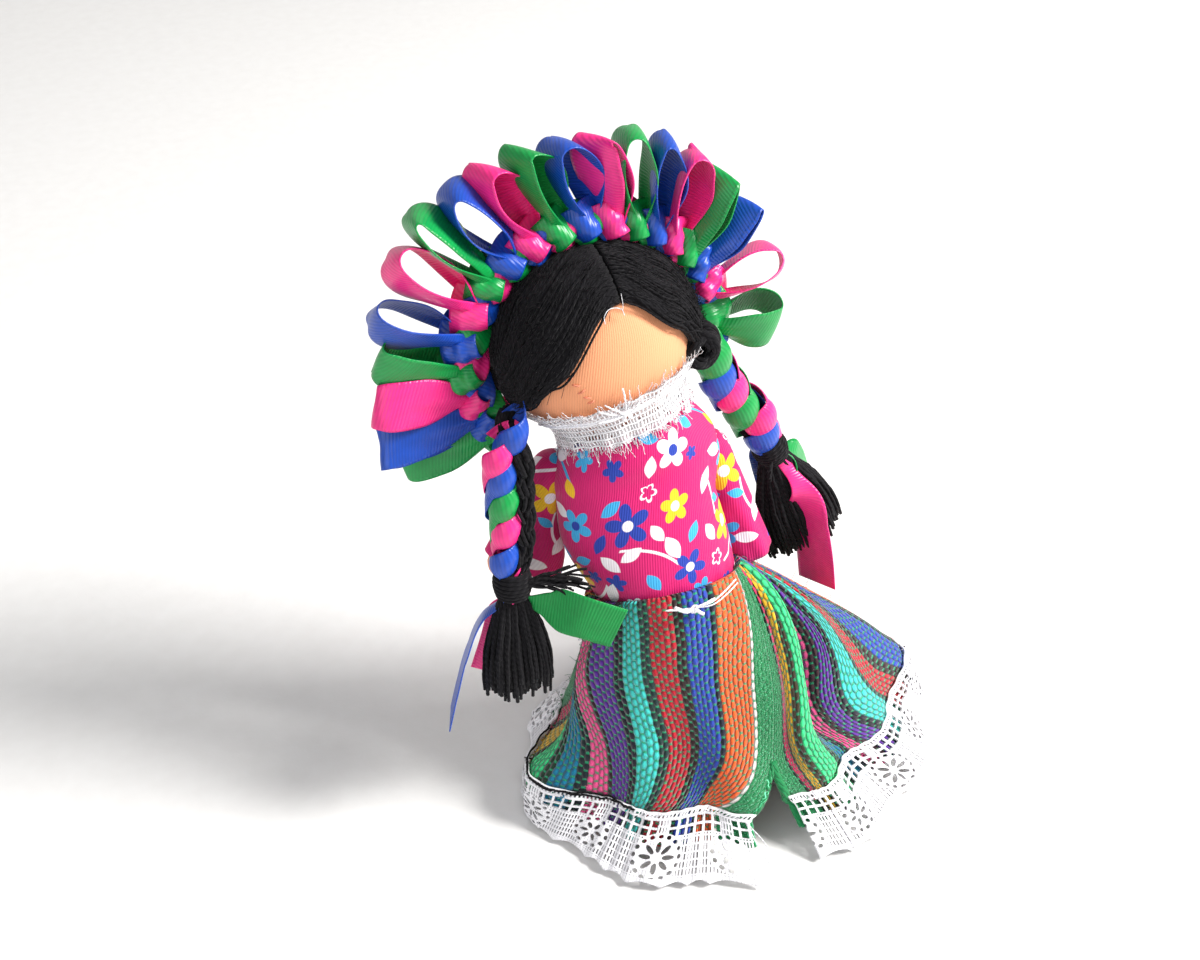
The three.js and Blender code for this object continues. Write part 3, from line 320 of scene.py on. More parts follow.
class Patchwork:
    """Surfaces worked out as whole arrays and gathered into one mesh, with cloth coordinates in
    millimetres"""

    def __init__(self):
        self.points = []
        self.blocks = []
        self.count = 0

    def _take(self, points):
        """Adds points and gives the number of the first"""
        first = self.count
        self.points.append(points.reshape(-1, 3))
        self.count += self.points[-1].shape[0]
        return first

    def grid(self, points, marks, around_rows=False, around_columns=False, slot=0):
        """Four-sided faces between neighbouring points of a grid. marks are the cloth coordinates, with
        one more row or column than the points where the grid runs round."""
        m, n = points.shape[:2]
        first = self._take(points)
        i = np.arange(m if around_rows else m - 1)[:, None]
        j = np.arange(n if around_columns else n - 1)[None, :]
        i2, j2 = (i + 1) % m, (j + 1) % n
        corners = np.stack([i * n + j, i * n + j2, i2 * n + j2, i2 * n + j], -1).reshape(-1, 4) + first
        spots = np.stack([marks[i, j], marks[i, j + 1], marks[i + 1, j + 1], marks[i + 1, j]], -2)
        self.blocks.append((corners, spots.reshape(-1, 4, 2), slot))

    def tube(self, rings):
        """Skin over rings of points, closed with a flat face over the first and the last"""
        marks = cloth_marks(rings)
        self.grid(rings, marks, around_columns=True)
        for end in (0, -1):
            first = self._take(rings[end])
            n = len(rings[end])
            self.blocks.append((np.arange(n)[None] + first, np.broadcast_to(marks[end, 0], (1, n, 2)), 0))

    def sheet(self, points, thickness, marks, around=False, back_slot=0):
        """Cloth with thickness: the grid of points raised and lowered along its normals, with walls at
        its edges"""
        half = facing(points, around) * (thickness / 2)
        upper, lower = points + half, points - half
        self.grid(upper, marks, around_columns=around)
        self.grid(lower[::-1], marks[: len(points)][::-1], around_columns=around, slot=back_slot)
        for i in (0, -1):
            self.grid(np.stack([upper[i], lower[i]]), np.stack([marks[i], marks[i]]), around_columns=around)
        if not around:
            for j in (0, -1):
                self.grid(np.stack([upper[:, j], lower[:, j]]), np.stack([marks[:, j], marks[:, j]]))

    def yarns(self, paths, radius, sides=5, slot=0, mark=None):
        """Round strands along many paths at once: a ring of sides at each point, square to the path. mark
        sets one cloth coordinate for the whole of each strand."""
        k, n = paths.shape[:2]
        radius = np.broadcast_to(np.reshape(radius, (-1, 1)), (k, n))
        along = unit(np.gradient(paths, axis=1))
        side = unit(np.cross(along, ODD_WAY))
        up = np.cross(along, side)
        turn = ring_turns(sides)
        rings = paths[:, :, None] + radius[..., None, None] * (
            np.cos(turn)[:, None] * side[:, :, None] + np.sin(turn)[:, None] * up[:, :, None]
        )
        first = self._take(rings)
        s = np.arange(k)[:, None, None] * n * sides
        i = np.arange(n - 1)[None, :, None] * sides
        j = np.arange(sides)[None, None, :]
        j2 = (j + 1) % sides
        corners = np.stack([s + i + j, s + i + j2, s + i + sides + j2, s + i + sides + j], -1) + first
        run = distances(paths.swapaxes(0, 1)).T + YARN_SHIFT * np.arange(k)[:, None]
        u0 = np.broadcast_to(run[:, :-1, None], (k, n - 1, sides))
        u1 = np.broadcast_to(run[:, 1:, None], (k, n - 1, sides))
        v0 = np.broadcast_to(j / sides, (k, n - 1, sides))
        v1 = v0 + 1 / sides
        if mark is not None:
            u0 = u1 = np.broadcast_to(np.asarray(mark, float)[:, None, None], (k, n - 1, sides))
        spots = np.stack([np.stack(c, -1) for c in ((u0, v0), (u0, v1), (u1, v1), (u1, v0))], -2)
        self.blocks.append((corners.reshape(-1, 4), spots.reshape(-1, 4, 2), slot))
        for end in (0, n - 1):
            caps = np.arange(k)[:, None] * n * sides + end * sides + np.arange(sides)[None] + first
            self.blocks.append((caps, np.zeros((k, sides, 2)), slot))

    def ribbon(self, path, wide, half_width, thickness, cup, start=0.0, across=17, pleat=0.0):
        """Flat ribbon along a path. wide is its crosswise direction at each point. Its section is bowed
        by cup * (1 - q^2) towards its satin face and creased by pleat * sin(7 q + 1), where q runs from
        -1 to 1."""
        n = len(path)
        along = unit(np.gradient(path, axis=0))
        wide = unit(wide - (wide * along).sum(1, keepdims=True) * along)
        out = np.cross(wide, along)
        q = np.linspace(-1, 1, across)
        half_width, cup, pleat = (np.broadcast_to(value, (n,))[:, None] for value in (half_width, cup, pleat))
        middle = path[:, None] + wide[:, None] * (half_width * q)[..., None]
        middle = middle + out[:, None] * (cup * (1 - q**2) + pleat * np.sin(7 * q + 1))[..., None]
        run = start + distances(path)
        self.sheet(middle, thickness, pair(run[:, None], q[None] * half_width), back_slot=1)

    def build(self, name, figure, materials):
        """One object at the origin, its mesh in the row frame: doubles merged, faces turned outwards"""
        name = f"doll_{name}"
        mesh = bpy.data.meshes.new(name)
        points = figure.row(np.concatenate(self.points))
        corners = np.concatenate([c.reshape(-1) for c, _, _ in self.blocks]).astype(np.int32)
        sizes = np.concatenate([np.full(len(c), c.shape[1]) for c, _, _ in self.blocks])
        spots = np.concatenate([s.reshape(-1, 2) for _, s, _ in self.blocks])
        slots = np.concatenate([np.full(len(c), slot) for c, _, slot in self.blocks])
        mesh.vertices.add(len(points))
        mesh.vertices.foreach_set("co", points.astype(np.float32).ravel())
        mesh.loops.add(len(corners))
        mesh.loops.foreach_set("vertex_index", corners)
        mesh.polygons.add(len(sizes))
        mesh.polygons.foreach_set("loop_start", np.concatenate([[0], np.cumsum(sizes)[:-1]]).astype(np.int32))
        mesh.update(calc_edges=True)
        mesh.polygons.foreach_set("material_index", slots.astype(np.int32))
        mesh.uv_layers.new(name=CLOTH).data.foreach_set("uv", spots.astype(np.float32).ravel())
        work = bmesh.new()
        work.from_mesh(mesh)
        bmesh.ops.remove_doubles(work, verts=work.verts, dist=MERGE)
        bmesh.ops.dissolve_degenerate(work, edges=work.edges, dist=MERGE / 2)
        bmesh.ops.recalc_face_normals(work, faces=work.faces)
        for face in work.faces:
            face.smooth = True
        work.to_mesh(mesh)
        work.free()
        for material in materials:
            mesh.materials.append(material)
        made = bpy.data.objects.new(name, mesh)
        bpy.context.scene.collection.objects.link(made)
        return made


def facing(points, around=False):
    """Unit normals of a grid: the cross product of its two directions"""
    if around:
        across = np.roll(points, -1, axis=1) - np.roll(points, 1, axis=1)
    else:
        across = np.gradient(points, axis=1)
    return unit(np.cross(across, np.gradient(points, axis=0)))


def add_piece(book, figure, name, finish_names, body, slot, *nodes):
    """The gathered surfaces as one piece: it rides on its body, names its material slot and stands for its
    CAD nodes"""
    made = book.build(name, figure, [finishes(figure.scene)[key] for key in finish_names])
    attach(made, body)
    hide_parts(*nodes)
    return made


def cloth_marks(rings):
    """Cloth coordinates of rings: distance round the middle ring, and distance down each column"""
    closed = np.concatenate([rings, rings[:, :1]], axis=1)
    return pair(distances(closed[len(closed) // 2])[None], distances(closed))


# Materials


class Wire:
    """A number or colour that flows through a material. Arithmetic on it adds Math nodes."""

    def __init__(self, finish, socket):
        self.finish = finish
        self.socket = socket

    def maths(self, operation, *others, clamp=False):
        """A Math node on this wire and the others"""
        values = dict(enumerate((self, *others)))
        return self.finish.node("ShaderNodeMath", {"operation": operation, "use_clamp": clamp}, values)

    def __add__(self, other):
        return self.maths("ADD", other)

    def __sub__(self, other):
        return self.maths("SUBTRACT", other)

    def __mul__(self, other):
        return self.maths("MULTIPLY", other)

    def __truediv__(self, other):
        return self.maths("DIVIDE", other)

    def __rsub__(self, other):
        return self.finish.node("ShaderNodeMath", {"operation": "SUBTRACT"}, {0: other, 1: self})

    def __rtruediv__(self, other):
        return self.finish.node("ShaderNodeMath", {"operation": "DIVIDE"}, {0: other, 1: self})

    __radd__ = __add__
    __rmul__ = __mul__

    def cos(self):
        return self.maths("COSINE")

    def fract(self):
        return self.maths("FRACT")

    def floor(self):
        return self.maths("FLOOR")

    def abs(self):
        return self.maths("ABSOLUTE")

    def root(self):
        return self.maths("SQRT")

    def power(self, exponent):
        return self.maths("POWER", exponent)

    def most(self, other):
        return self.maths("MAXIMUM", other)

    def held(self, shift=0.0):
        """Shifted, and kept from 0 to 1"""
        return self.maths("ADD", shift, clamp=True)

    def over(self, edge, soft=0.05):
        """0 below an edge and 1 above it, with a soft step"""
        return ((self - edge) * (1 / soft)).held(0.5)

    def under(self, edge, soft=0.05):
        """1 below an edge and 0 above it, with a soft step"""
        return ((edge - self) * (1 / soft)).held(0.5)

    def wave(self):
        """Even wave from 0 to 1 and back, once for each 1 of the value: (sin(2 pi x) + 1) / 2"""
        return (self * (2 * math.pi)).maths("SINE") * 0.5 + 0.5

    def cell(self):
        """Place in a repeating cell of width 1: from -0.5 to 0.5"""
        return self.fract() - 0.5


class Finish:
    """One material: a Principled shader, its constant values and the nodes that feed it"""

    def __init__(self, name, **constants):
        self.material = bpy.data.materials.new(name)
        self.material.use_nodes = True
        self.nodes = self.material.node_tree.nodes
        self.links = self.material.node_tree.links
        self.nodes.clear()
        self.shader = self.nodes.new("ShaderNodeBsdfPrincipled")
        self.links.new(self.shader.outputs[0], self.nodes.new("ShaderNodeOutputMaterial").inputs[0])
        for socket, value in constants.items():
            self.shader.inputs[socket.replace("_", " ")].default_value = value

    def node(self, kind, settings=None, inputs=None, out=0):
        """Any node: its settings first, then the values or links of its sockets"""
        made = self.nodes.new(kind)
        for key, value in (settings or {}).items():
            if key == "stops":
                self._stops(made.color_ramp, value)
            else:
                setattr(made, key, value)
        for key, value in (inputs or {}).items():
            if isinstance(value, Wire):
                self.links.new(value.socket, made.inputs[key])
            else:
                made.inputs[key].default_value = value
        return Wire(self, made.outputs[out])

    def _stops(self, ramp, stops):
        """Steps of a colour ramp, without blending between them"""
        ramp.interpolation = "CONSTANT"
        while len(ramp.elements) < len(stops):
            ramp.elements.new(1.0)
        for element, (position, value) in zip(ramp.elements, stops):
            element.position = position
            element.color = value

    def cloth(self):
        """Distances along and down the cloth, in millimetres"""
        marks = self.node("ShaderNodeUVMap", {"uv_map": CLOTH})
        parts = self.nodes.new("ShaderNodeSeparateXYZ")
        self.links.new(marks.socket, parts.inputs[0])
        return Wire(self, parts.outputs[0]), Wire(self, parts.outputs[1])

    def noise(self, vector, scale, detail=2.0):
        """Noise from 0 to 1"""
        return self.node("ShaderNodeTexNoise", {}, {"Vector": vector, "Scale": scale, "Detail": detail})

    def grain(self, x, y, scale=1.0, detail=2.0):
        """Noise on two distances along the cloth"""
        return self.noise(self.node("ShaderNodeCombineXYZ", {}, {0: x, 1: y}), scale, detail)

    def around(self, scale, detail=2.0):
        """Noise fixed to the piece's place, its scale in cycles to the metre"""
        spot = self.node("ShaderNodeTexCoord", {}, {}, out="Object")
        return self.noise(spot, scale, detail)

    def blend(self, share, a, b):
        """Colour a where share is 0 and b where it is 1"""
        return self.node("ShaderNodeMix", {"data_type": "RGBA"}, {0: share, 6: a, 7: b}, out=2)

    def darken(self, share, seen, tint):
        """Colour multiplied by a tint, as far as share says"""
        settings = {"data_type": "RGBA", "blend_type": "MULTIPLY"}
        return self.node("ShaderNodeMix", settings, {0: share, 6: seen, 7: tint}, out=2)

    def tone(self, share, tone, low, high):
        """The surface's colour: a tone scaled by low where share is 0 and by high where it is 1"""
        self.feed("Base Color", self.blend(share, opaque(tone, low), opaque(tone, high)))

    def feed(self, socket, wire):
        """Links a wire to a socket of the shader"""
        self.links.new(wire.socket, self.shader.inputs[socket])

    def bump(self, height, millimetres, strength=1.0):
        """Relief of the given depth from a height of 0 to 1"""
        values = {"Strength": strength, "Distance": millimetres / MM, "Height": height}
        self.feed("Normal", self.node("ShaderNodeBump", {}, values))


def opaque(value, scale=1.0):
    """Four numbers of a colour, lightened or darkened"""
    return (*[min(1.0, c * scale) for c in value], 1.0)


def seen_colour(rgb):
    """Four numbers of a colour given as 0 to 255"""
    return opaque(linear(*rgb))


def skin_cotton(tone):
    """Fine twill: slanting lines less than half a millimetre apart"""
    f = Finish("skin_cotton", Roughness=0.72, Sheen_Weight=0.15, Sheen_Roughness=0.4, Specular_IOR_Level=0.25)
    u, v = f.cloth()
    lines = ((u * 0.96 + v * 0.22) / 0.42).wave()
    f.tone((lines * 0.34 + f.around(160.0, 3.0) * 0.45).held(), tone, 1.12, 0.84)
    f.bump(lines * 0.6 + f.grain(u, v, 2.2) * 0.6, 0.05)
    return f.material


def black_yarn(tone):
    """Spun yarn: two plies that wind round each other, with loose fuzz"""
    f = Finish("black_yarn", Roughness=0.9, Sheen_Weight=0.04, Sheen_Roughness=0.6, Specular_IOR_Level=0.12)
    u, v = f.cloth()
    plies = (u / 1.3 + v * 2).wave()
    fuzz = f.grain(u * 3.0, v * 5.0, 1.6, 4.0)
    # partly painted shade: the yarn is darker in the grooves between its plies; the fuzz gives it a random
    # tone
    f.tone((plies * 0.35 + fuzz * 0.8).held(-0.15), tone, 0.55, 2.4)
    f.bump(plies * 0.7 + fuzz * 0.6, 0.12)
    return f.material


def satin(name, tone):
    """Face of a satin ribbon: a soft shine over fine slanting ribs, with tiny knots along each edge"""
    f = Finish(name, Roughness=0.37, Specular_IOR_Level=0.5)
    u, v = f.cloth()
    ribs = ((u + v * 0.35) / 0.6).wave()
    fold_relief_and_shade = f.grain(u * 0.22, v * 0.45)
    # painted highlight and shade: the fold noise lightens the tone to 1.3 and darkens it to 0.55; the ribs
    # add a little of the weave's pattern
    f.tone((ribs * 0.2 + fold_relief_and_shade * 0.65).held(-0.1), tone, 1.3, 0.55)
    picots = v.abs().over(3.5, 0.3) * (u / 0.9).wave()
    f.bump(ribs * 0.6 + fold_relief_and_shade * 0.9 + picots * 0.8, 0.07, 0.8)
    return f.material


def grosgrain(name, tone):
    """Back of the ribbon: matt, with clearer cross ribs"""
    f = Finish(name, Roughness=0.5, Sheen_Weight=0.05, Specular_IOR_Level=0.3)
    u, v = f.cloth()
    ribs = (u / 0.55).wave()
    f.tone((ribs * 0.25 + f.grain(u * 0.5, v * 0.5, 0.8) * 0.6).held(), tone, 1.2, 0.6)
    f.bump(ribs, 0.07)
    return f.material


def plied_thread(name, low, high, lay, depth, **constants):
    """Spun cotton: two plies, dark in the groove and light on the ply"""
    f = Finish(name, Roughness=0.8, **constants)
    u, v = f.cloth()
    plies = (u / lay + v * 2).wave()
    # painted shade and light: the colour runs from the low one in the ply groove to the high one on the ply
    f.feed("Base Color", f.blend(plies, low, high))
    f.bump(plies, depth)
    return f.material


# The print: each motif is a shape round its own middle, on a tile that repeats over the cloth

INK_EDGE = 0.12
STEM_HALF_WIDTH = 0.22


def aimed(x, y, turn):
    """Distances along a direction and across it"""
    c, s = math.cos(turn), math.sin(turn)
    return x * c + y * s, y * c - x * s


def petals(x, y, radius, count, turn, waist):
    """Five or so petals: the edge lies at radius * (waist + (1 - waist) * |cos(count / 2 * angle)|)"""
    bearing = y.maths("ARCTAN2", x) + turn
    edge = ((bearing * (count / 2)).cos().abs() * (1 - waist) + waist) * radius
    return (x * x + y * y).root().under(edge, INK_EDGE)


def dot(x, y, radius):
    """Round spot"""
    return (x * x + y * y).root().under(radius, INK_EDGE)


def leaf(x, y, long, wide, turn):
    """Pointed leaf: half width wide * (1 - (2 * along / long)^2)"""
    along, across = aimed(x, y, turn)
    along = along * (2 / long)
    return across.abs().under((1 - along * along) * wide, INK_EDGE)


def stem(x, y, reach, turn, bend):
    """Thin curved line: across = bend * along^2"""
    along, across = aimed(x, y, turn)
    line = (across - along * along * bend).abs().under(STEM_HALF_WIDTH, 0.1)
    return line * along.abs().under(reach, 0.2)


TILE = (27.0, 25.0)
PRINT_SCALE = 1.3
PRINT = (
    (leaf, (13.4, 15.2), 3.6, 0.95, 2.2, "white"),
    (leaf, (14.9, 23.4), 3.4, 0.9, 0.5, "sky"),
    (leaf, (1.9, 13.4), 3.4, 0.9, 1.9, "white"),
    (leaf, (26.0, 15.4), 3.2, 0.8, 0.9, "sky"),
    (leaf, (6.6, 23.6), 3.6, 0.9, -0.4, "white"),
    (leaf, (8.2, 2.6), 3.4, 0.9, 1.2, "white"),
    (leaf, (16.2, 5.4), 3.2, 0.85, 2.3, "sky"),
    (leaf, (20.8, 17.9), 3.2, 0.85, 2.0, "white"),
    (leaf, (12.7, 18.6), 3.4, 0.8, 1.0, "blue"),
    (leaf, (9.2, 16.0), 3.0, 0.8, 0.2, "sky"),
    (petals, (24.9, 6.2), 1.8, 5, 0.2, 0.45, "sky"),
    (petals, (15.2, 1.1), 1.1, 5, 0.9, 0.5, "blue"),
    (petals, (10.0, 13.2), 1.2, 5, 0.4, 0.5, "blue"),
    (stem, (8.0, 8.5), 4.6, 0.5, 0.05, "white"),
    (stem, (19.5, 15.5), 4.4, -0.6, -0.06, "white"),
    (stem, (4.5, 18.5), 3.4, 1.7, 0.08, "white"),
    (stem, (21.5, 4.5), 3.0, 2.4, 0.07, "sky"),
    (petals, (6.0, 12.5), 3.1, 5, 0.3, 0.4, "yellow"),
    (petals, (17.0, 20.4), 3.3, 5, 0.9, 0.36, "blue"),
    (petals, (24.0, 10.6), 2.7, 5, 1.7, 0.36, "blue"),
    (petals, (12.2, 3.4), 2.9, 5, 0.1, 0.5, "white"),
    (petals, (2.8, 4.0), 1.7, 5, 0.6, 0.5, "blue"),
    (petals, (13.2, 12.0), 1.6, 5, 1.3, 0.5, "blue"),
    (petals, (9.4, 21.6), 2.6, 5, 0.5, 0.42, "sky"),
    (petals, (24.2, 20.4), 2.4, 5, 1.1, 0.5, "yellow"),
    (leaf, (11.6, 9.9), 4.6, 1.0, 1.1, "white"),
    (leaf, (9.0, 6.6), 3.4, 0.8, -0.5, "sky"),
    (leaf, (16.6, 16.0), 3.6, 0.9, 0.4, "white"),
    (leaf, (22.4, 14.8), 4.2, 1.05, -1.3, "white"),
    (leaf, (3.4, 20.8), 3.8, 0.9, 0.9, "white"),
    (leaf, (5.6, 16.6), 2.9, 0.7, 2.6, "sky"),
    (leaf, (19.4, 6.6), 4.0, 1.0, 0.3, "white"),
    (leaf, (22.6, 2.2), 3.0, 0.8, 1.9, "yellow"),
    (leaf, (18.4, 10.8), 3.2, 0.9, 1.9, "sky"),
    (dot, (6.0, 12.5), 0.9, "white"),
    (dot, (17.0, 20.4), 0.8, "white"),
    (dot, (24.0, 10.6), 0.7, "white"),
    (dot, (12.2, 3.4), 0.8, "blue"),
    (dot, (9.4, 21.6), 0.7, "blue"),
    (dot, (24.2, 20.4), 0.7, "white"),
)
SPRIGS = ((14.6, 7.6, 1.5), (20.6, 24.0, 1.4), (2.0, 9.0, 1.3))
SPRIG_LINE = 0.38


def printed_cotton(colours):
    """Magenta cotton with a fine rib and a repeating print of flowers, leaves and small open blossoms"""
    sheen = {"Sheen_Weight": 0.2, "Sheen_Roughness": 0.4}
    f = Finish("printed_cotton", Roughness=0.66, Specular_IOR_Level=0.3, **sheen)
    u, v = f.cloth()
    u, v = u * (1 / PRINT_SCALE), v * (1 / PRINT_SCALE)
    row = v / TILE[1]
    x = (u / TILE[0] + row.floor() * 0.5).fract() * TILE[0]
    y = row.fract() * TILE[1]
    inks = {name: opaque(getattr(colours, f"print_{name}")) for name in ("white", "sky", "yellow", "blue")}
    seen = f.blend(f.around(90.0, 2.0), opaque(colours.blouse, 0.9), opaque(colours.blouse, 1.1))
    for shape, at, *values, ink in PRINT:
        seen = f.blend(shape(x - at[0], y - at[1], *values), seen, inks[ink])
    for sx, sy, radius in SPRIGS:
        outer, inner = (petals(x - sx, y - sy, r, 5, 0.3, 0.55) for r in (radius, radius - SPRIG_LINE))
        seen = f.blend(outer * (1 - inner), seen, inks["white"])
    ribs = ((u * 0.97 - v * 0.24) / 0.36).wave()
    f.feed("Base Color", f.darken(ribs * 0.3, seen, (0.62, 0.5, 0.6, 1)))
    f.bump(ribs * 0.6 + f.grain(u, v, 0.35, 3.0) * 1.4, 0.1)
    return f.material


STRIPES = (
    ("bottle", (14, 116, 64), 11.5),
    ("crimson", (216, 24, 92), 6.5),
    ("yellow", (240, 188, 36), 6.5),
    ("mint", (60, 226, 140), 7.0),
    ("petrol", (6, 122, 160), 6.0),
    ("rose", (250, 88, 152), 6.0),
    ("purple", (98, 42, 158), 6.5),
    ("turquoise", (62, 210, 202), 7.0),
    ("red", (196, 22, 44), 7.0),
    ("blue", (42, 72, 180), 7.0),
    ("orange", (255, 104, 42), 7.0),
    ("white", (238, 232, 226), 1.0),
)
STRIPE_REPEAT = sum(width for _, _, width in STRIPES)
BLACK_LINE = 1.8
UNLINED = ("white", "orange")
FLOAT_WIDTH = 1.06
FLOAT_LENGTH = 1.9
STRIPE_SHIFT = 5.75
WOOL_WIDTH = 11.0
BLACK_YARN = (0.006, 0.007, 0.008, 1)
GAP_SHADE = (0.012, 0.016, 0.016, 1)
WOOL_DARK, WOOL_LIGHT, WOOL_GLINT = (8, 84, 48), (26, 156, 88), (120, 235, 180)


def stripe_stops():
    """Ramps over one repeat of the stripes: each stripe's colour, and 1 on the black line at its end"""
    hues, lines, edge = [], [], 0.0
    for name, rgb, width in STRIPES:
        hues.append((edge / STRIPE_REPEAT, seen_colour(rgb)))
        lines.append((edge / STRIPE_REPEAT, (0, 0, 0, 1)))
        edge += width
        if name not in UNLINED:
            lines.append(((edge - BLACK_LINE) / STRIPE_REPEAT, (1, 1, 1, 1)))
    return hues, lines


def handwoven_cotton(weft_tone):
    """Warp stripes of thick yarn with green weft dashes. The warp floats lie in columns, every other column
    set half a float lower; black stripes part the colours, and the first stripe is loose green wool."""
    sheen = {"Sheen_Weight": 0.25, "Sheen_Roughness": 0.5}
    f = Finish("handwoven_cotton", Roughness=0.82, Specular_IOR_Level=0.25, **sheen)
    u, v = f.cloth()
    straight = (u + f.grain(u * 0.25, v * 0.12, 1.0, 1.0) * 0.9 - 0.45) / FLOAT_WIDTH
    beat = v / FLOAT_LENGTH + f.grain(u * 0.6, v * 0.5) * 0.5
    column = straight - (beat * (2 * math.pi)).cos() * (straight * math.pi).cos() * 0.085
    cell_x = column.cell()
    cell_y = (beat + (column.floor() * 0.5).fract()).cell()
    spot = ((column.floor() + 0.5) * (FLOAT_WIDTH / STRIPE_REPEAT) + STRIPE_SHIFT / STRIPE_REPEAT).fract()
    hue, black = (f.node("ShaderNodeValToRGB", {"stops": stops}, {0: spot}) for stops in stripe_stops())
    fibre = f.grain(u * 2.2, v * 0.5, 1.5, 4.0)
    hairy = f.grain(u * 0.5, v * 2.0, 2.5, 3.0)
    wool = spot.under(WOOL_WIDTH / STRIPE_REPEAT, 0.004)
    dash = cell_y.abs().over(0.38, 0.08) * cell_x.abs().under(0.42, 0.12)
    round_x = 1 - (cell_x * cell_x) * 4
    pillow = round_x * (1 - (cell_y * cell_y) * 2.6)
    # painted shade: the colour darkens towards GAP_SHADE between the floats and round the edges of each float
    painted_gap_shade = (1 - round_x).power(3.0) * 0.25 + (1 - pillow).power(2.0) * 0.45
    yarn = f.darken(fibre * 0.5, f.blend(painted_gap_shade.held(), hue, GAP_SHADE), (0.55, 0.55, 0.55, 1))
    yarn = f.blend(black * 0.96, yarn, BLACK_YARN)
    yarn = f.blend(dash * (1 - wool) * 0.85, yarn, opaque(weft_tone, 1.3))
    seen = f.blend(wool * 0.85, yarn, f.blend(hairy, seen_colour(WOOL_DARK), seen_colour(WOOL_LIGHT)))
    # painted glints: bright dots in the base colour of the wool stand in for the sparkle of its shiny fibres
    glint = f.grain(u, v, 4.2, 1.0).over(0.655, 0.04) * wool
    f.feed("Base Color", f.blend(glint, seen, seen_colour(WOOL_GLINT)))
    f.bump(pillow * (1 - wool * 0.6) + fibre * 0.35 + hairy * wool * 0.8 - dash * 0.15, 0.6)
    return f.material


LACE_REPEAT = 27.5
LACE_FLOWERS = ((0.5, 8, 8.2, 2.15, 1.15, 0.5), (0.0, 6, 8.0, 1.5, 0.8, 0.42))
SQUARE_ROWS = (1.4, 4.8)
SQUARE_SIZE = (1.9, 1.7)


def white_lace(tone):
    """Machine lace: a heading of close bars, two rows of square holes, and flowers of long holes in a net
    of fine threads. Holes are see-through. Each flower has a place in the repeat, its petals, its middle
    down the lace, the ring its holes lie on, and their half length and half width."""
    f = Finish("white_lace", Roughness=0.7, Sheen_Weight=0.2)
    u, v = f.cloth()
    net = (u / 0.6).cell().abs().over(0.22, 0.12).most((v / 1.3).cell().abs().over(0.38, 0.08))
    group = ((u / (LACE_REPEAT / 2)).cell() * (LACE_REPEAT / 2)).abs()
    rows = v.over(SQUARE_ROWS[0], 0.1) * v.under(SQUARE_ROWS[1], 0.1) * group.under(5.7, 0.1)
    square_x = (u / SQUARE_SIZE[0]).cell().abs().under(0.38)
    square_y = ((v - SQUARE_ROWS[0]) / SQUARE_SIZE[1]).cell().abs().under(0.38)
    ladder = (u / 0.8).cell().abs().under(0.24, 0.1) * (v - 0.75).abs().under(0.3, 0.08)
    cloth = net.most(v.under(1.5, 0.1)).most(rows) * (1 - square_x * square_y * rows) * (1 - ladder)
    for offset, count, middle, ring, long, wide in LACE_FLOWERS:
        x = (u / LACE_REPEAT + offset).cell() * LACE_REPEAT
        y = (v - middle) * 1.12
        reach = (x * x + y * y).root()
        bearing = y.maths("ARCTAN2", x) * (count / (2 * math.pi))
        petal = (bearing + 10.5).cell() * reach * (2 * math.pi / count / wide)
        along = (reach - ring) * (1 / long)
        hole = (along * along + petal * petal).under(1.0, 0.25)
        outer = (reach - (ring + long + 0.95)) * (1 / 0.42)
        beads = (bearing * 2 + 20.5).cell() * reach * (math.pi / count / 0.5)
        eyelet = (outer * outer + beads * beads).under(1.0, 0.3)
        cloth = cloth.most(reach.under(ring + long + 1.6, 0.1)) * (1 - hole) * (1 - eyelet)
    f.feed("Alpha", cloth.most(v.over(11.9, 0.2)).held())
    threads = ((u / 0.28).wave() + (v / 0.4).wave()) * 0.5
    f.tone(threads, tone, 0.9, 1.0)
    f.bump(threads * 0.4 + net * 0.6, 0.12)
    return f.material


def frayed_net(tone):
    """Loose ladder lace of the collar: heavy crosswise threads with fine ones between them"""
    f = Finish("frayed_net", Roughness=0.72, Sheen_Weight=0.2)
    u, v = f.cloth()
    sway = f.grain(u * 0.3, v * 0.4) * 1.6
    fine = ((u + sway) / 0.62).cell().abs().over(0.32, 0.1)
    bars = ((v + sway * 0.6) / 1.25).cell().abs().over(0.36, 0.08)
    worn = f.grain(u * 0.35, v * 0.5, 1.2).over(0.46, 0.08)
    f.feed("Alpha", fine.most(bars).most(worn * 0.3).held())
    f.tone(fine, tone, 0.86, 1.0)
    f.bump(fine * 0.5 + bars, 0.2)
    return f.material


def plain_floor():
    """Pale table top with a grain that hardly shows"""
    f = Finish("pale_floor", Roughness=0.9, Specular_IOR_Level=0.1)
    soft = f.around(220.0, 3.0)
    f.feed("Base Color", f.blend(soft, (0.80, 0.79, 0.78, 1), (0.86, 0.855, 0.85, 1)))
    f.bump(soft, 0.25, 0.5)
    return f.material


RIBBONS = ("green", "blue", "pink")
# Stitch thread: a shaded copy of its colour for the ply grooves and a lit copy for the plies, painted shade
# and light
STITCH_SHADED, STITCH_LIT = (0.62, 0.17, 0.1, 1), (0.8, 0.3, 0.18, 1)
MADE = {}


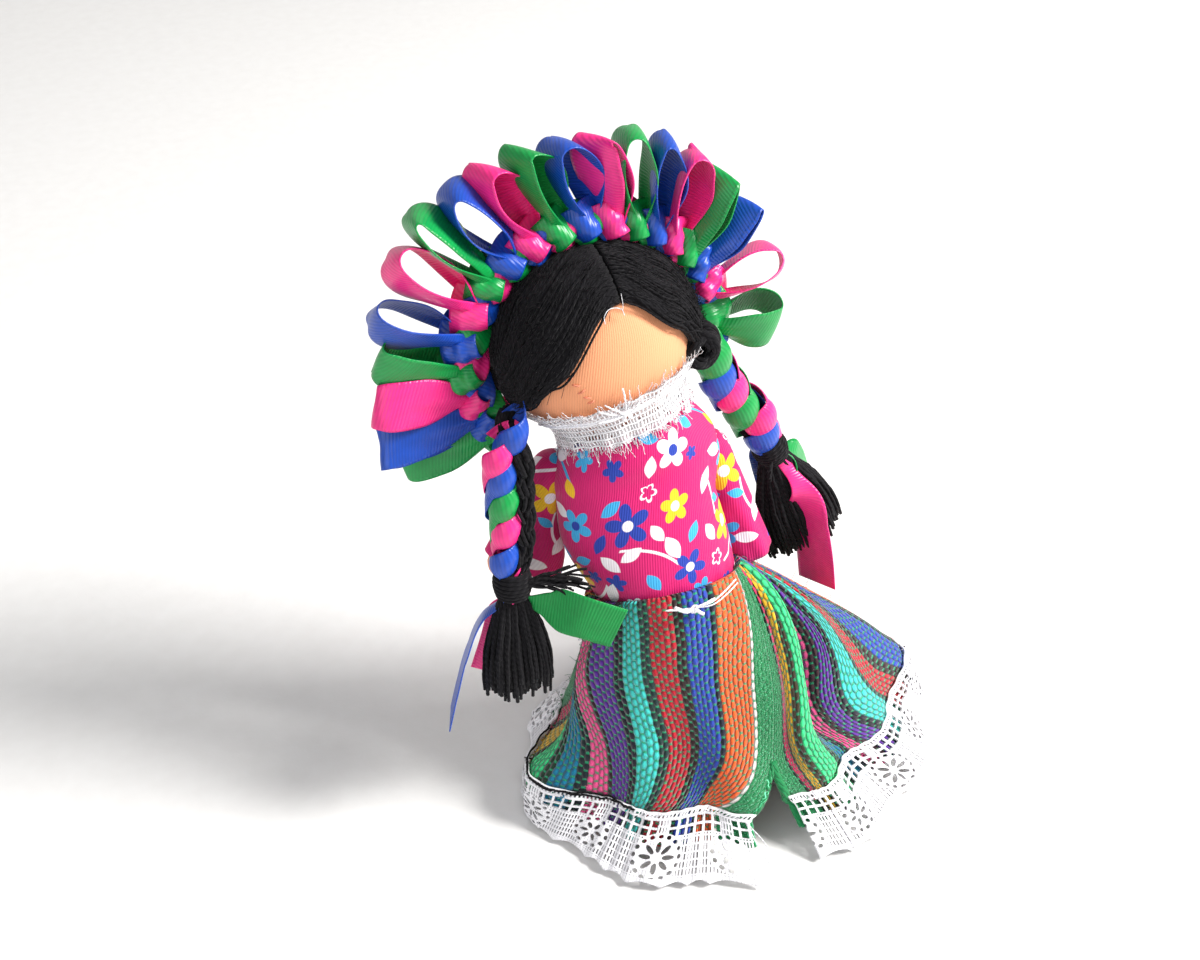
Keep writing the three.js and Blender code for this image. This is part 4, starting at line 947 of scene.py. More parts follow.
def finishes(scene):
    """Every material of the doll, made once"""
    if not MADE:
        c = scene.doll_colours
        MADE["skin_cotton"] = skin_cotton(c.skin)
        MADE["black_yarn"] = black_yarn(c.yarn)
        # the white thread at 0.86 of its colour is its painted shade in the ply grooves
        MADE["white_thread"] = plied_thread(
            "white_thread", opaque(c.white, 0.86), opaque(c.white), 0.9, 0.08, Sheen_Weight=0.2
        )
        MADE["stitch_thread"] = plied_thread("stitch_thread", STITCH_SHADED, STITCH_LIT, 0.7, 0.05)
        for ribbon in RIBBONS:
            MADE[f"{ribbon}_satin"] = satin(f"{ribbon}_satin", getattr(c, ribbon))
            MADE[f"{ribbon}_back"] = grosgrain(f"{ribbon}_back", getattr(c, ribbon))
        MADE["printed_cotton"] = printed_cotton(c)
        MADE["handwoven_cotton"] = handwoven_cotton(c.weft)
        MADE["white_lace"] = white_lace(c.white)
        MADE["frayed_net"] = frayed_net(c.white)
    return MADE


# Stuffed body. Rows of the torso: height, share of the half width and depth, and sideways set.

TORSO = (
    (-7, 0.45, -2.6), (-5.5, 0.78, -2.6), (-4, 0.88, -2.6), (4, 0.96, -2.6),
    (11, 1, -2.6), (19, 1, -2.2), (25, 0.92, -1.3), (29, 0.8, -0.6),
)
COLLARED = ((32.4, 12.3, 11.0, -0.5), (35.4, 11.7, 10.5, -0.1), (38.4, 11.0, 10.0, 0))
SHOULDER_SHARES = ((-3, 1.04), (-2, 1.16))
SHOULDER_STEP = 0.9
NECK_DEPTH = 0.9
LIMB_ROUND = 40


def ring_around(centre, across, along, a, b, sides=ROUND):
    """Ellipses: centre + across * a * cos(t) + along * b * sin(t), for one or for many centres"""
    t = ring_turns(sides)
    a, b = np.asarray(a, float)[..., None, None], np.asarray(b, float)[..., None, None]
    centre, across, along = (np.asarray(x, float)[..., None, :] for x in (centre, across, along))
    return centre + across * a * np.cos(t)[:, None] + along * b * np.sin(t)[:, None]


def level_rings(x, y, z, a, b, sides=ROUND):
    """Level ellipses with their middles at x, y and z"""
    return ring_around(np.stack(np.broadcast_arrays(x, y, z), -1), [1, 0, 0], [0, 1, 0], a, b, sides)


def add_stuffed(figure, rings, name, body, fill, *nodes):
    """Cotton skin over rings of points, with its share of stuffing"""
    book = Patchwork()
    book.tube(rings)
    add_piece(book, figure, name, ["skin_cotton"], body, "skin_cotton", *nodes)


def torso_grid(figure, grow, steps=40, low=-7.0, sides=ROUND, collared=False):
    """Rings round the body, smoothed through its rows; the blouse runs on under the collar"""
    width, depth = figure.body.torso_half_width * MM, figure.body.torso_half_depth * MM
    top = figure.body.neck_radius * MM + SHOULDER_STEP
    rows = [(z, width * share, depth * share, x) for z, share, x in TORSO if z >= low]
    rows = np.array([*rows, (figure.neck_z, top, top * NECK_DEPTH, 0.0)])
    if collared:
        for row, share in SHOULDER_SHARES:
            rows[row, 1:3] *= share
        rows = np.concatenate([rows[:-1], COLLARED])
    z, a, b, x = through(rows, steps).T
    return level_rings(x, 0, z, a + grow, b + grow, sides)


def build_torso(figure):
    """Stuffed body under the blouse"""
    rings = figure.on_body(torso_grid(figure, 0.0))
    rings = rings + waver(rings, 14, 3, 0.25)
    add_stuffed(figure, rings, "torso", "torso", 0.85, "torso_cover", "torso_stuffing")


def build_neck(figure):
    """Stuffed stub: rings from its foot to the underside of the head, place and tilt mixed between the two"""
    gap = figure.body.gap * MM
    radius = figure.body.neck_radius * MM
    drop = -figure.body.neck_drop * MM - gap
    foot = np.array([0, 0, figure.neck_z + gap + 1.5])
    head, head_x, head_y = (figure.head_to_body([x, y, drop]) for x, y in ((0, 0), (1, 0), (0, 1)))
    share = np.linspace(-0.22, 1.0, 14)
    radii = radius * (1 - 0.5 * smooth(-share, 0.05, 0.3)) - 0.25 * np.sin(np.pi * np.clip(share, 0, 1))
    share = share[:, None]
    across = unit(mix(np.array([1.0, 0, 0]), head_x - head, share))
    along = unit(mix(np.array([0, 1.0, 0]), head_y - head, share))
    rings = ring_around(mix(foot, head, share), across, along, radii, radii * NECK_DEPTH)
    add_stuffed(figure, figure.on_body(rings), "neck", "neck", 0.9, "neck")


# Stitches on the cheek: place across and up the face, and slope

STITCHES = ((-8.9, 3.0, 0.5), (-8.1, 1.7, -0.3), (-7.5, 0.4, 0.6), (-6.8, -0.9, -0.2), (-6.3, -1.9, 0.4))
STITCH_HALF = 0.55
HEAD_ROUND = 96


def build_head(figure):
    """Egg-shaped cover of smooth cotton over its stuffing: an ellipse from the crown down, then the chin
    drawing in to the neck opening. A row of small stitches on one cheek."""
    w, d, h = (getattr(figure.body, f"head_half_{n}") * MM for n in ("width", "depth", "height"))
    drop = figure.body.neck_drop * MM
    turn = np.radians(np.linspace(89, -14, 14))
    upper = np.stack([w * np.cos(turn), h * np.sin(turn)], -1)
    chin = [(w - 2.4, -drop + 5.5), (w - 5, -drop + 2.7), (figure.body.neck_radius * MM + 0.8, -drop)]
    radius, z = through(np.concatenate([upper, chin]), 56).T
    rings = figure.on_head(level_rings(0, 0, z, radius, radius * (d / w), HEAD_ROUND))
    book = Patchwork()
    book.tube(rings + waver(rings, 16, 11, 0.14))
    x, z, slope = np.array(STITCHES).T[..., None]
    t = np.linspace(-1, 1, 9)
    x, z = x + t * STITCH_HALF, z + t * slope * 0.5
    y = -(d + 0.12 - 0.3 * t**2) * np.sqrt(1 - (x / w) ** 2 - (z / h) ** 2)
    book.yarns(figure.on_head(np.stack([x, y, z], -1)), 0.16, 6, slot=1)
    names = ["skin_cotton", "stitch_thread"]
    made = add_piece(book, figure, "head", names, "head", "skin_cotton", "head_cover", "head_stuffing")


# Arms: shoulder and reach along the body, the cuff's width, thickness and shift, which way the cuff spreads,
# the sleeve's length and the arm's share of the full length

ARMS = {
    "right": {
        "shoulder": (-14.9, 3.4, 31.8), "reach": (-13.9, 5, -15.9), "cuff": (7.8, 4.5, 3.4),
        "inwards": 1, "sleeve": 20.5, "share": 1.0,
    },
    "left": {
        "shoulder": (14.4, 4, 21.5), "reach": (1.8, -0.6, -20), "cuff": (4.3, 5.2, 0.9),
        "inwards": -1, "sleeve": 23.6, "share": 0.92,
    },
}
SLEEVE_RADIUS = 3.9
SLEEVE_SIDES = 72


def limb_frame(arm):
    """Directions along an arm and square to it"""
    along = unit(arm["reach"])
    across = unit(np.array([0, 1.0, 0]) - along[1] * along)
    return along, across, np.cross(along, across)


def build_arm(figure, side):
    """Stuffed arm: a round tube that narrows at the wrist and ends in a round hand"""
    arm = ARMS[side]
    along, across, other = limb_frame(arm)
    r = figure.body.arm_radius * MM
    hand = figure.body.hand_radius * MM
    reach = figure.body.arm_length * MM
    knots = [
        (-r * 0.98, 0.25), (-r * 0.8, r * 0.62), (-r * 0.4, r * 0.92), (3, r), (12, r * 0.95),
        (19, r * 0.87), (20.5, hand * 0.93), (reach + 0.6, hand), (reach + hand - 1.4, hand * 0.76),
        (reach + hand - 0.3, 0.5),
    ]
    run, radius = through(knots, 44).T
    centre = np.array(arm["shoulder"]) + along * (run * arm["share"])[:, None]
    rings = figure.on_body(ring_around(centre, across, other, radius, radius, LIMB_ROUND))
    rings = rings + waver(rings, 9, 21, 0.12)
    nodes = f"{side}_arm_cover", f"{side}_arm_stuffing"
    add_stuffed(figure, rings, f"{side}_arm", f"{side}_arm", 0.8, *nodes)


def build_leg(figure, side):
    """Stuffed leg under the skirt, as height, half width, half depth and backward set: a rounded foot with a
    flat sole, ankle, shin and hip"""
    sign = 1 if side == "left" else -1
    radius = figure.body.leg_radius * MM
    ankle = figure.body.ankle_radius * MM
    beside = TORSO[0][2] + sign * figure.body.hip_spacing * MM / 2
    hip = figure.on_body([beside, 0, TORSO[0][0] - figure.body.gap * MM - radius])
    heel = 4.5 + ankle - 6.2
    knee = (ankle + radius) / 2
    rows = [
        (0.02, 3.3, 5.3, heel), (0.5, 4.0, 6.0, heel), (1.4, 4.2, 6.2, heel), (3.4, 4.15, 5.9, heel),
        (5.6, ankle, ankle + 0.6, 3.9), (8, ankle, ankle, 4.5), (hip[2] * 0.6, knee, knee, 1.8),
        (hip[2], radius, radius, 0), (hip[2] + radius * 0.6, radius * 0.8, radius * 0.8, 0),
        (hip[2] + radius * 0.95, 1.2, 1.2, 0),
    ]
    z, a, b, back = through(rows, 48).T
    rings = level_rings(hip[0], hip[1] + back, np.maximum(z, rows[0][0]), a, b, LIMB_ROUND)
    rings = rings + waver(rings, 10, 31 + sign, 0.15) * smooth(rings[..., 2:], 0.5, 3)
    nodes = f"{side}_leg_cover", f"{side}_leg_stuffing"
    add_stuffed(figure, rings, f"{side}_leg", f"{side}_leg", 0.8, *nodes)


# Hair


def over_head(figure, gamma, beta, proud):
    """Point off the head: gamma turns from the middle to the ear, beta from the face over the crown"""
    ring = np.cos(gamma)
    w, d, h = (getattr(figure.body, f"head_half_{n}") * MM for n in ("width", "depth", "height"))
    x = (w + proud) * np.sin(gamma)
    y = -(d + proud) * ring * np.cos(beta)
    z = (h + proud) * ring * np.sin(beta)
    return np.stack(np.broadcast_arrays(x, y, z), -1)


def hair_flow(figure, side, share, column, proud):
    """Line of the combed yarn: share runs from the parting to the ear, column from the front edge to the
    nape"""
    w = figure.body.head_half_width * MM
    start = np.arcsin((side * figure.hair.parting_x * MM + 0.2) / w)
    gamma = side * mix(start, np.radians(83), share)
    if side > 0:
        front = mix(46, 22, smooth(share, 0, 0.45)) - 62 * smooth(share, 0.4, 0.9)
    else:
        front = mix(46, 6, smooth(share, 0, 0.6)) - 56 * smooth(share, 0.5, 1)
    nape = mix(216, 244, smooth(share, 0.2, 1))
    return over_head(figure, gamma, np.radians(mix(front, nape, column)), proud)


HAIR_RIBS = 70
HAIR_STRANDS = 240
LOOSE_FIBRES = 420
HAIR_SEEDS = {"right": 45, "left": 44}


def thinned(column):
    """1 over the hair, falling to 0 at its front and back edges"""
    return np.clip(np.minimum(column, 1 - column) / 0.03, 0, 1) ** 0.5


def hair_shell(book, figure, sign, inner, thick):
    """Ribbed shell of laid yarn: its thickness swells in the middle and is ribbed by |sin|^0.7, with broad
    locks"""
    share = np.linspace(0, 1, 40)[:, None]
    column = np.linspace(0, 1, 300)[None, :]
    wander = 2.0 * np.sin(5 * share) + 1.2 * np.sin(31 * column + 3 * share)
    ridge = np.abs(np.sin(np.pi * HAIR_RIBS * column + wander)) ** 0.7
    locks = 0.35 * np.sin(FULL_TURN * 7 * column + 3 * share) * np.sin(np.pi * share)
    body = thick * (0.8 + 0.16 * np.sin(np.pi * share)) + 0.22 * ridge + locks * 0.5
    proud = inner + body * (0.35 + 0.65 * thinned(column))
    outer = figure.on_head(hair_flow(figure, sign, share, column, proud))
    under = figure.on_head(hair_flow(figure, sign, share, column, np.full((1, 1), inner * 0.9)))
    marks = pair(share * 26 + column * 9, column * HAIR_RIBS / 2)
    both = np.concatenate([marks, marks[::-1], marks[:1]])
    book.grid(np.concatenate([outer, under[::-1]]), both, around_rows=True)
    for j in (0, -1):
        book.grid(np.stack([outer[:, j], under[:, j]]), np.stack([marks[:, j], marks[:, j]]))


def build_hair(figure, side):
    """Black yarn laid from the parting to the ear: a ribbed shell, single strands over it, loose fibres"""
    rng = np.random.default_rng(HAIR_SEEDS[side])
    sign = 1 if side == "left" else -1
    inner = figure.body.gap * MM + 0.1
    thick = figure.hair.hair_thickness * MM
    book = Patchwork()
    hair_shell(book, figure, sign, inner, thick)
    each = (HAIR_STRANDS, 1)
    s = np.linspace(0.0, 1, 26)[None, :]
    c = np.sort(rng.uniform(0.0, 1, HAIR_STRANDS))[:, None]
    c = c + 0.03 * rng.normal(size=each) * np.sin(FULL_TURN * s * rng.uniform(0.3, 1, each))
    lift = inner + thick * (0.8 + 0.16 * np.sin(np.pi * s)) * (0.5 + 0.5 * thinned(c))
    lift = lift + rng.uniform(0.0, 0.34, each) + 0.1 * np.sin(9 * s + rng.uniform(0, 6, each))
    paths = figure.on_head(hair_flow(figure, sign, s, np.clip(c, -0.01, 1.01), lift))
    book.yarns(paths, rng.uniform(0.1, 0.24, HAIR_STRANDS))
    each = (LOOSE_FIBRES, 1)
    s, c = rng.uniform(0.03, 0.9, each), rng.uniform(0, 0.75, each)
    t = np.linspace(0, 1, 9)[None, :]
    s = s + t * rng.uniform(0.03, 0.1, each)
    c = c + t * rng.normal(0, 0.03, each)
    lift = inner + thick + 0.25 + np.sin(np.pi * t) * rng.uniform(0.15, 0.8, each)
    book.yarns(figure.on_head(hair_flow(figure, sign, s, c, lift)), 0.045, 4)
    name = f"hair_{side}"
    add_piece(book, figure, name, ["black_yarn"], "head", "black_yarn", name)


# Loose white thread: angles round and up the head, and height off it

CURL = ((-4.5, 37, 1.9), (-4, 40.5, 2.5), (-1, 43, 2.6), (3, 43, 2.3), (6, 41.5, 1.9), (7, 38.5, 1.2))
WISP = ((6.2, 41, 2.0), (6.6, 44, 2.7), (7.2, 47, 2.6), (8.0, 49.5, 2.3))


def build_parting_thread(figure):
    """Loose curl of white thread on the hair beside the parting"""
    strands = []
    for route in (CURL, WISP):
        gamma, beta, proud = np.array(route).T
        spots = over_head(figure, np.radians(gamma), np.radians(beta), proud)
        strands.append(figure.on_head(through(spots, 70)))
    book = Patchwork()
    book.yarns(np.stack(strands), (0.075, 0.055), 6)
    add_piece(book, figure, "parting_thread", ["white_thread"], "head", "white_thread", "parting_thread")


# Headdress: where each loop leaves the plait and where its tip points, in degrees round the head, how far
# out the tip lies, how each of its two sides is turned about its length (0 is edge on, 90 flat to the
# viewer), its lean back in degrees and how wide it stands open

LOOPS = (
    (211, 200, 40.5, 62, 62, 14, 3.2), (200, 189, 41, 66, 60, -3, 3.2), (188, 177, 39.5, 62, 30, -3, 4.2),
    (173, 165, 38.5, 30, 54, 0, 4.4), (158, 153, 40.5, 14, 12, 0, 6.4), (142, 138, 41, 10, 8, 0, 6.8),
    (129, 127.5, 41.5, -8, -34, 0, 5.0), (116, 118, 39.5, -10, -22, 0, 6.4),
    (104, 108.5, 39.5, 8, 58, 0, 5.6), (92, 99, 39.5, 16, 64, 0, 4.4),
    (80, 89, 38, 12, 44, 0, 5.8), (68, 79, 37.5, 50, 30, 0, 3.2),
    (58, 69.5, 38.5, 6, 16, 0, 5.6), (48, 60, 38.3, 8, 38, 0, 4.2), (38, 50, 38, 10, 60, 0, 5.2),
    (28, 40, 37.5, 56, 50, 0, 2.8), (18, 29, 36.5, 62, 60, 5, 2.6), (6, 8, 38, 13, 8, 0, 6.4),
    (-11, -10, 36.5, -22, -34, 0, 6.8),
)
CROWN_MIDDLE = (-0.7, 1.0)
CROWN_OVERRUN = 0.6
LOOP_SEED = 200
GATHERED = 1.3


def ribbon_finish(colour_name):
    """Materials of a ribbon: satin on its face and grosgrain on its back"""
    return [f"{colour_name}_satin", f"{colour_name}_back"]


def crown_angle(count):
    """Angle round the crown at a count along the loops, run on past the first and the last"""
    roots = np.array([loop[0] for loop in LOOPS], float)
    return np.radians(through(roots, at=count, knots=np.arange(len(LOOPS)))[:, 0])


def crown_point(figure, turn, outwards, back):
    """Place on the plaited band: an ellipse over the head, moved outwards and back"""
    x = CROWN_MIDDLE[0] + (figure.hair.crown_half_width * MM + outwards) * np.cos(turn)
    z = (figure.hair.crown_half_height * MM + outwards) * np.sin(turn)
    return np.stack(np.broadcast_arrays(x, CROWN_MIDDLE[1] + back, z), -1)


def plaited_ribbon(figure, strand):
    """One ribbon of the plait, as path, crosswise direction, bow and creases. It swings out and in, and
    passes over and under twice as often; its face looks forwards and, far out, outwards as well."""
    count = np.linspace(-CROWN_OVERRUN, len(LOOPS) - 1 + CROWN_OVERRUN, 420)
    turn = crown_angle(count)
    swing = np.radians(90 + 120 * (count - strand))
    across = np.sin(swing)
    depth = np.sin(2 * swing)
    back = 1.3 * np.maximum(-across, 0) - figure.hair.plait_depth * MM * depth
    path = crown_point(figure, turn, figure.hair.plait_swing * MM * across, back)
    inner = crown_point(figure, turn, 0.0, 0.0)
    out = crown_point(figure, turn, 1.0, 0.0) - inner
    face = unit(np.array([0, -1.0, 0]) + out * (0.2 + 0.35 * across)[:, None])
    along = unit(mix(unit(np.gradient(inner, axis=0)), unit(np.gradient(path, axis=0)), 0.95))
    pleat = 0.16 * np.sin(1.7 * count + strand) + 0.1 * np.sin(4.1 * count)
    return path, np.cross(along, face), 0.15 + 0.35 * np.maximum(depth, 0), pleat


def loop_frame(figure, root_turn, tip_turn, reach, back):
    """Root, length and directions of a loop: outwards, towards the viewer and aside"""
    root = crown_point(figure, np.radians(root_turn), figure.hair.plait_swing * MM * 0.5, 0.7)
    tip_turn, back = np.radians(tip_turn), np.radians(back)
    middle, level = CROWN_MIDDLE
    tip = np.array([middle + reach * np.cos(tip_turn), level, reach * np.sin(tip_turn)])
    outwards = unit(tip - root) * np.cos(back) + np.array([0, 1.0, 0]) * np.sin(back)
    nearer = figure.tilt.T @ view_axes()[2]
    nearer = unit(nearer - nearer @ outwards * outwards)
    return root, np.linalg.norm(tip - root), outwards, nearer, np.cross(outwards, nearer)


def add_loop(book, figure, loop, seed):
    """Teardrop of ribbon: along = length * (1 - cos s) / 2, aside = breadth * sin s * |sin(s / 2)|^1.3. The
    ribbon is gathered where it leaves the plait, spread at the tip and turned a little on its way round."""
    rng = np.random.default_rng(seed)
    root_turn, tip_turn, reach, first_side, second_side, back, breadth = loop
    root, reach, outwards, nearer, aside = loop_frame(figure, root_turn, tip_turn, reach, back)
    s = np.linspace(0.02, FULL_TURN - 0.02, 76)
    share = (1 - np.cos(s)) / 2
    seen = np.radians(mix(first_side, second_side, smooth(s, 2.7, 4.8)))[:, None]
    wide = nearer * np.cos(seen) + aside * np.sin(seen)
    opening = nearer * np.sin(seen) - aside * np.cos(seen)
    bulge = breadth * 0.66 * np.sin(s) * np.abs(np.sin(s / 2)) ** 1.3
    path = root + outwards * (reach * share - 0.8)[:, None] + opening * bulge[:, None]
    path = path + wide * (rng.normal(0, 0.4) * np.sin(s) + 0.4 * rng.normal() * share)[:, None]
    spread = 1 - 0.14 * bell(s, np.pi, 0.45)
    half = mix(GATHERED, figure.hair.loop_ribbon * MM / 2 * spread, smooth(share, 0.0, 0.6) ** 0.8)
    tilt = rng.normal(0, 0.1) + 0.25 * np.sin(s)[:, None] * (1 - share)[:, None]
    across = unit(wide + outwards * tilt + opening * (0.16 * np.sin(2 * s) * share)[:, None])
    bow = (1 - smooth(share, 0.0, 0.7)) * 1.2 + 0.35 * share + 0.1 * np.sin(3 * s + rng.uniform(0, 6))
    path = path + waver(path, 16, seed, 0.22)
    pleat = 0.24 * (1 - smooth(share, 0.05, 0.75)) * rng.uniform(0.5, 1.3) * np.sign(rng.normal())
    thick = figure.hair.ribbon_thickness * MM
    start = rng.uniform(0, 9)
    book.ribbon(figure.on_head(path), across @ figure.tilt.T, half, thick, bow, start=start, pleat=pleat)


def build_headdress(figure):
    """Three ribbons plaited round the crown, each drawn out in its own loops"""
    half, thick = figure.hair.plait_ribbon * MM / 2, figure.hair.ribbon_thickness * MM
    for strand, colour_name in enumerate(RIBBONS):
        path, wide, bow, pleat = plaited_ribbon(figure, strand)
        book = Patchwork()
        book.ribbon(figure.on_head(path), wide @ figure.tilt.T, half, thick, bow, pleat=pleat)
        for index in range(strand, len(LOOPS), len(RIBBONS)):
            add_loop(book, figure, LOOPS[index], LOOP_SEED + index)
        name = f"crown_ribbon_{colour_name}"
        add_piece(book, figure, name, ribbon_finish(colour_name), "head", f"{colour_name}_ribbon", name)


# Hanging braids. Lobes are where a ribbon shows in front, as distance down the braid and across it. Yarn is
# how far the plait of yarn lies aside and behind, and its bulk.

BRAIDS = {
    "right": {
        "root": ((-39.6, 10.8, 87.2), (-40.6, 10.6, 85)), "across": (1, 0, 0),
        "top": (-41.5, 6.4, 82.5), "tie": (-42.8, 2.4, 55.8), "end": (-43, -0.4, 32),
        "brush": (6.4, 3.4), "yarn": (2.2, -0.9, 0.55), "slope": 1.6, "reach": (2.0, 2.1), "ribbon": 4.7,
        "lobes": {
            "blue": ((-2.6, 1.0), (5.0, -1.3), (21.4, -1.5)),
            "pink": ((1.0, -1.9), (15.4, -0.9)),
            "green": ((10.1, -1.1),),
        },
        "tails": {
            "green": ((-37.3, -1, 51.1), (-32.4, -5.8, 50.9), (-26.4, -8.2, 48.4)),
            "blue": ((-48.2, 3.4, 48.3), (-51.9, 3, 40.5), (-54.4, 2.2, 33), (-56.4, 1.2, 26.6)),
            "pink": ((-41.6, 6.0, 50), (-42.2, 7.0, 44), (-43.8, 7.2, 37), (-46.2, 6.8, 30)),
        },
        "tails_across": {"green": (0.35, 0, 0.94), "blue": (-0.1, -0.74, 0.66), "pink": (0.9, -0.3, 0.2)},
    },
    "left": {
        "root": ((-2.3, 21.4, 93.3), (-1, 21.8, 90.4), (0.4, 22, 87)), "across": (0.88, 0, 0.48),
        "top": (0.9, 15.3, 84.6), "tie": (14.4, 17.6, 60.6), "end": (24.6, 18.2, 35.6),
        "brush": (8.6, 4.4), "yarn": (-0.6, 0.35, 1.0), "slope": 1.1, "reach": (2.9, 2.4), "ribbon": 6.0,
        "lobes": {
            "green": ((-2.0, 0.0), (13.2, -0.6)),
            "blue": ((3.0, -1.2), (22.4, 0.2)),
            "pink": ((7.6, -0.6), (18.0, 1.4)),
        },
        "tails": {
            "green": ((19.6, 18.4, 57.0), (22.6, 19.4, 52.5), (24.4, 20, 48)),
            "blue": ((17.6, 23.4, 54.5), (20.0, 25.0, 48), (22.0, 25.6, 42)),
            "pink": ((20.2, 13.6, 51.5), (22.4, 13.0, 43.5), (24.2, 12.4, 34.5), (25.4, 12.2, 26.5)),
        },
        "tails_across": {"green": (0.5, 0.8, 0.2), "blue": (0.8, -0.3, 0), "pink": (0.5, -0.75, -0.3)},
    },
}
TIED = {"pink": -340, "green": -260, "blue": -110}
CROSSED = 68
SOFTENED = 9
TIE_HEIGHT = 4.6
TIE_TURNS = 7
PLAIT_LENGTH = 14.0
BUNDLE_YARNS = 17
BRUSH_YARNS = 300
BUN_YARNS = 80
YARN_SEEDS = {"right": 75, "left": 74}
TIE_SEEDS = {"right": 95, "left": 94}


class BraidLine:
    """A braid's own frame: down its length, across it and to its back"""

    def __init__(self, braid):
        self.top = np.array(braid["top"], float)
        span = np.array(braid["tie"], float) - self.top
        self.length = np.linalg.norm(span)
        self.down = span / self.length
        across = np.array(braid["across"], float)
        self.across = unit(across - across @ self.down * self.down)
        self.back = np.cross(self.across, self.down)

    def at(self, s, x, y):
        """Places by their distance down the braid, across it and to its back"""
        s, x, y = (np.asarray(v, float)[..., None] for v in (s, x, y))
        return self.top + self.down * s + self.across * x + self.back * y

    def around(self, turn, wide, deep):
        """Offsets round the braid's middle: across * wide * cos(turn) + back * deep * sin(turn)"""
        return self.across * (wide * np.cos(turn))[..., None] + self.back * (deep * np.sin(turn))[..., None]


def softened(values):
    """Running mean, with the ends held"""
    return np.convolve(np.pad(values, SOFTENED // 2, mode="edge"), np.ones(SOFTENED) / SOFTENED, "valid")


def wound_ribbon(line, braid, lobes, tied):
    """A ribbon round the braid: at each lobe it crosses the front slantwise, from right to left going down,
    and passes the back in between. Returns its path, where its face looks and the distance down."""
    wide, deep = braid["reach"]
    slope = braid["slope"]
    keys = [(min(lobes[0][0] - 4.2, 0.0), 160.0, lobes[0][1])]
    for index, (s, x) in enumerate(lobes):
        turn = -360.0 * index
        keys += [(s - slope, turn + CROSSED, x), (s, turn, x), (s + slope, turn - CROSSED, x)]
    end = max(line.length - 1.0, lobes[-1][0] + slope + 2.2)
    keys += [(end, turn + tied, 0.0), (line.length + 3.0, turn + tied, 0.0)]
    places, turns, shifts = np.array(keys).T
    s = np.linspace(places[0], places[-1], 240)
    turn = softened(np.interp(s, places, np.radians(turns)))
    x = softened(np.interp(s, places, shifts))
    taper = 1 - 0.42 * smooth(s, line.length - 3.5, line.length - 0.5)
    path = line.at(s, x + wide * taper * np.sin(turn), -deep * taper * np.cos(turn))
    face = line.across * (np.sin(turn) / wide)[:, None] - line.back * (np.cos(turn) / deep)[:, None]
    return path, unit(face), s


def braid_ribbon(figure, line, braid, colour_name):
    """A ribbon with its tail, as path, crosswise direction, half width and bow. It is drawn in at the tie,
    and then turns and widens into its tail."""
    wound, face, s = wound_ribbon(line, braid, braid["lobes"][colour_name], TIED[colour_name])
    route, hang = (np.array(braid[key][colour_name], float) for key in ("tails", "tails_across"))
    tail = through(np.concatenate([wound[[-12, -1]], route]), 90)[12:]
    path = np.concatenate([wound, tail])
    s = np.concatenate([s, np.full(len(tail), s[-1])])
    face = np.concatenate([face, np.broadcast_to(face[-1], tail.shape)])
    across = unit(np.cross(unit(np.gradient(path, axis=0)), face))
    share = np.concatenate([np.zeros(len(wound)), np.linspace(0, 1, len(tail))])
    hang = unit(hang) * np.sign(unit(hang) @ across[len(wound) - 1])
    across = unit(mix(across, hang, smooth(share, 0.0, 0.45)[:, None]))
    tied = smooth(s, line.length - 3.2, line.length - 1.0)
    crossing = np.abs((face * line.back).sum(1))
    half = mix(braid["ribbon"] / 2 * mix(0.72, 1.06, crossing), 1.3, tied)
    half = mix(half, figure.hair.tail_ribbon * MM / 2, smooth(share, 0.02, 0.4))
    bow = (0.5 + 0.7 * crossing) * (1 - tied) + 0.25 * tied * (1 - smooth(share, 0, 0.3))
    return path, across, half, bow


def build_braid(figure, side):
    """Three ribbons that wind over black yarn, tied at the end, with loose tails"""
    braid = BRAIDS[side]
    line = BraidLine(braid)
    body = f"{side}_braid"
    thick = figure.hair.ribbon_thickness * MM
    for colour_name in RIBBONS:
        path, across, half, bow = braid_ribbon(figure, line, braid, colour_name)
        book = Patchwork()
        book.ribbon(path, across, half, thick, bow, across=13)
        name = f"{body}_ribbon_{colour_name}"
        add_piece(book, figure, name, ribbon_finish(colour_name), body, f"{colour_name}_ribbon", name)
    build_braid_yarn(figure, side, braid, line)
    build_braid_tie(figure, side, line)


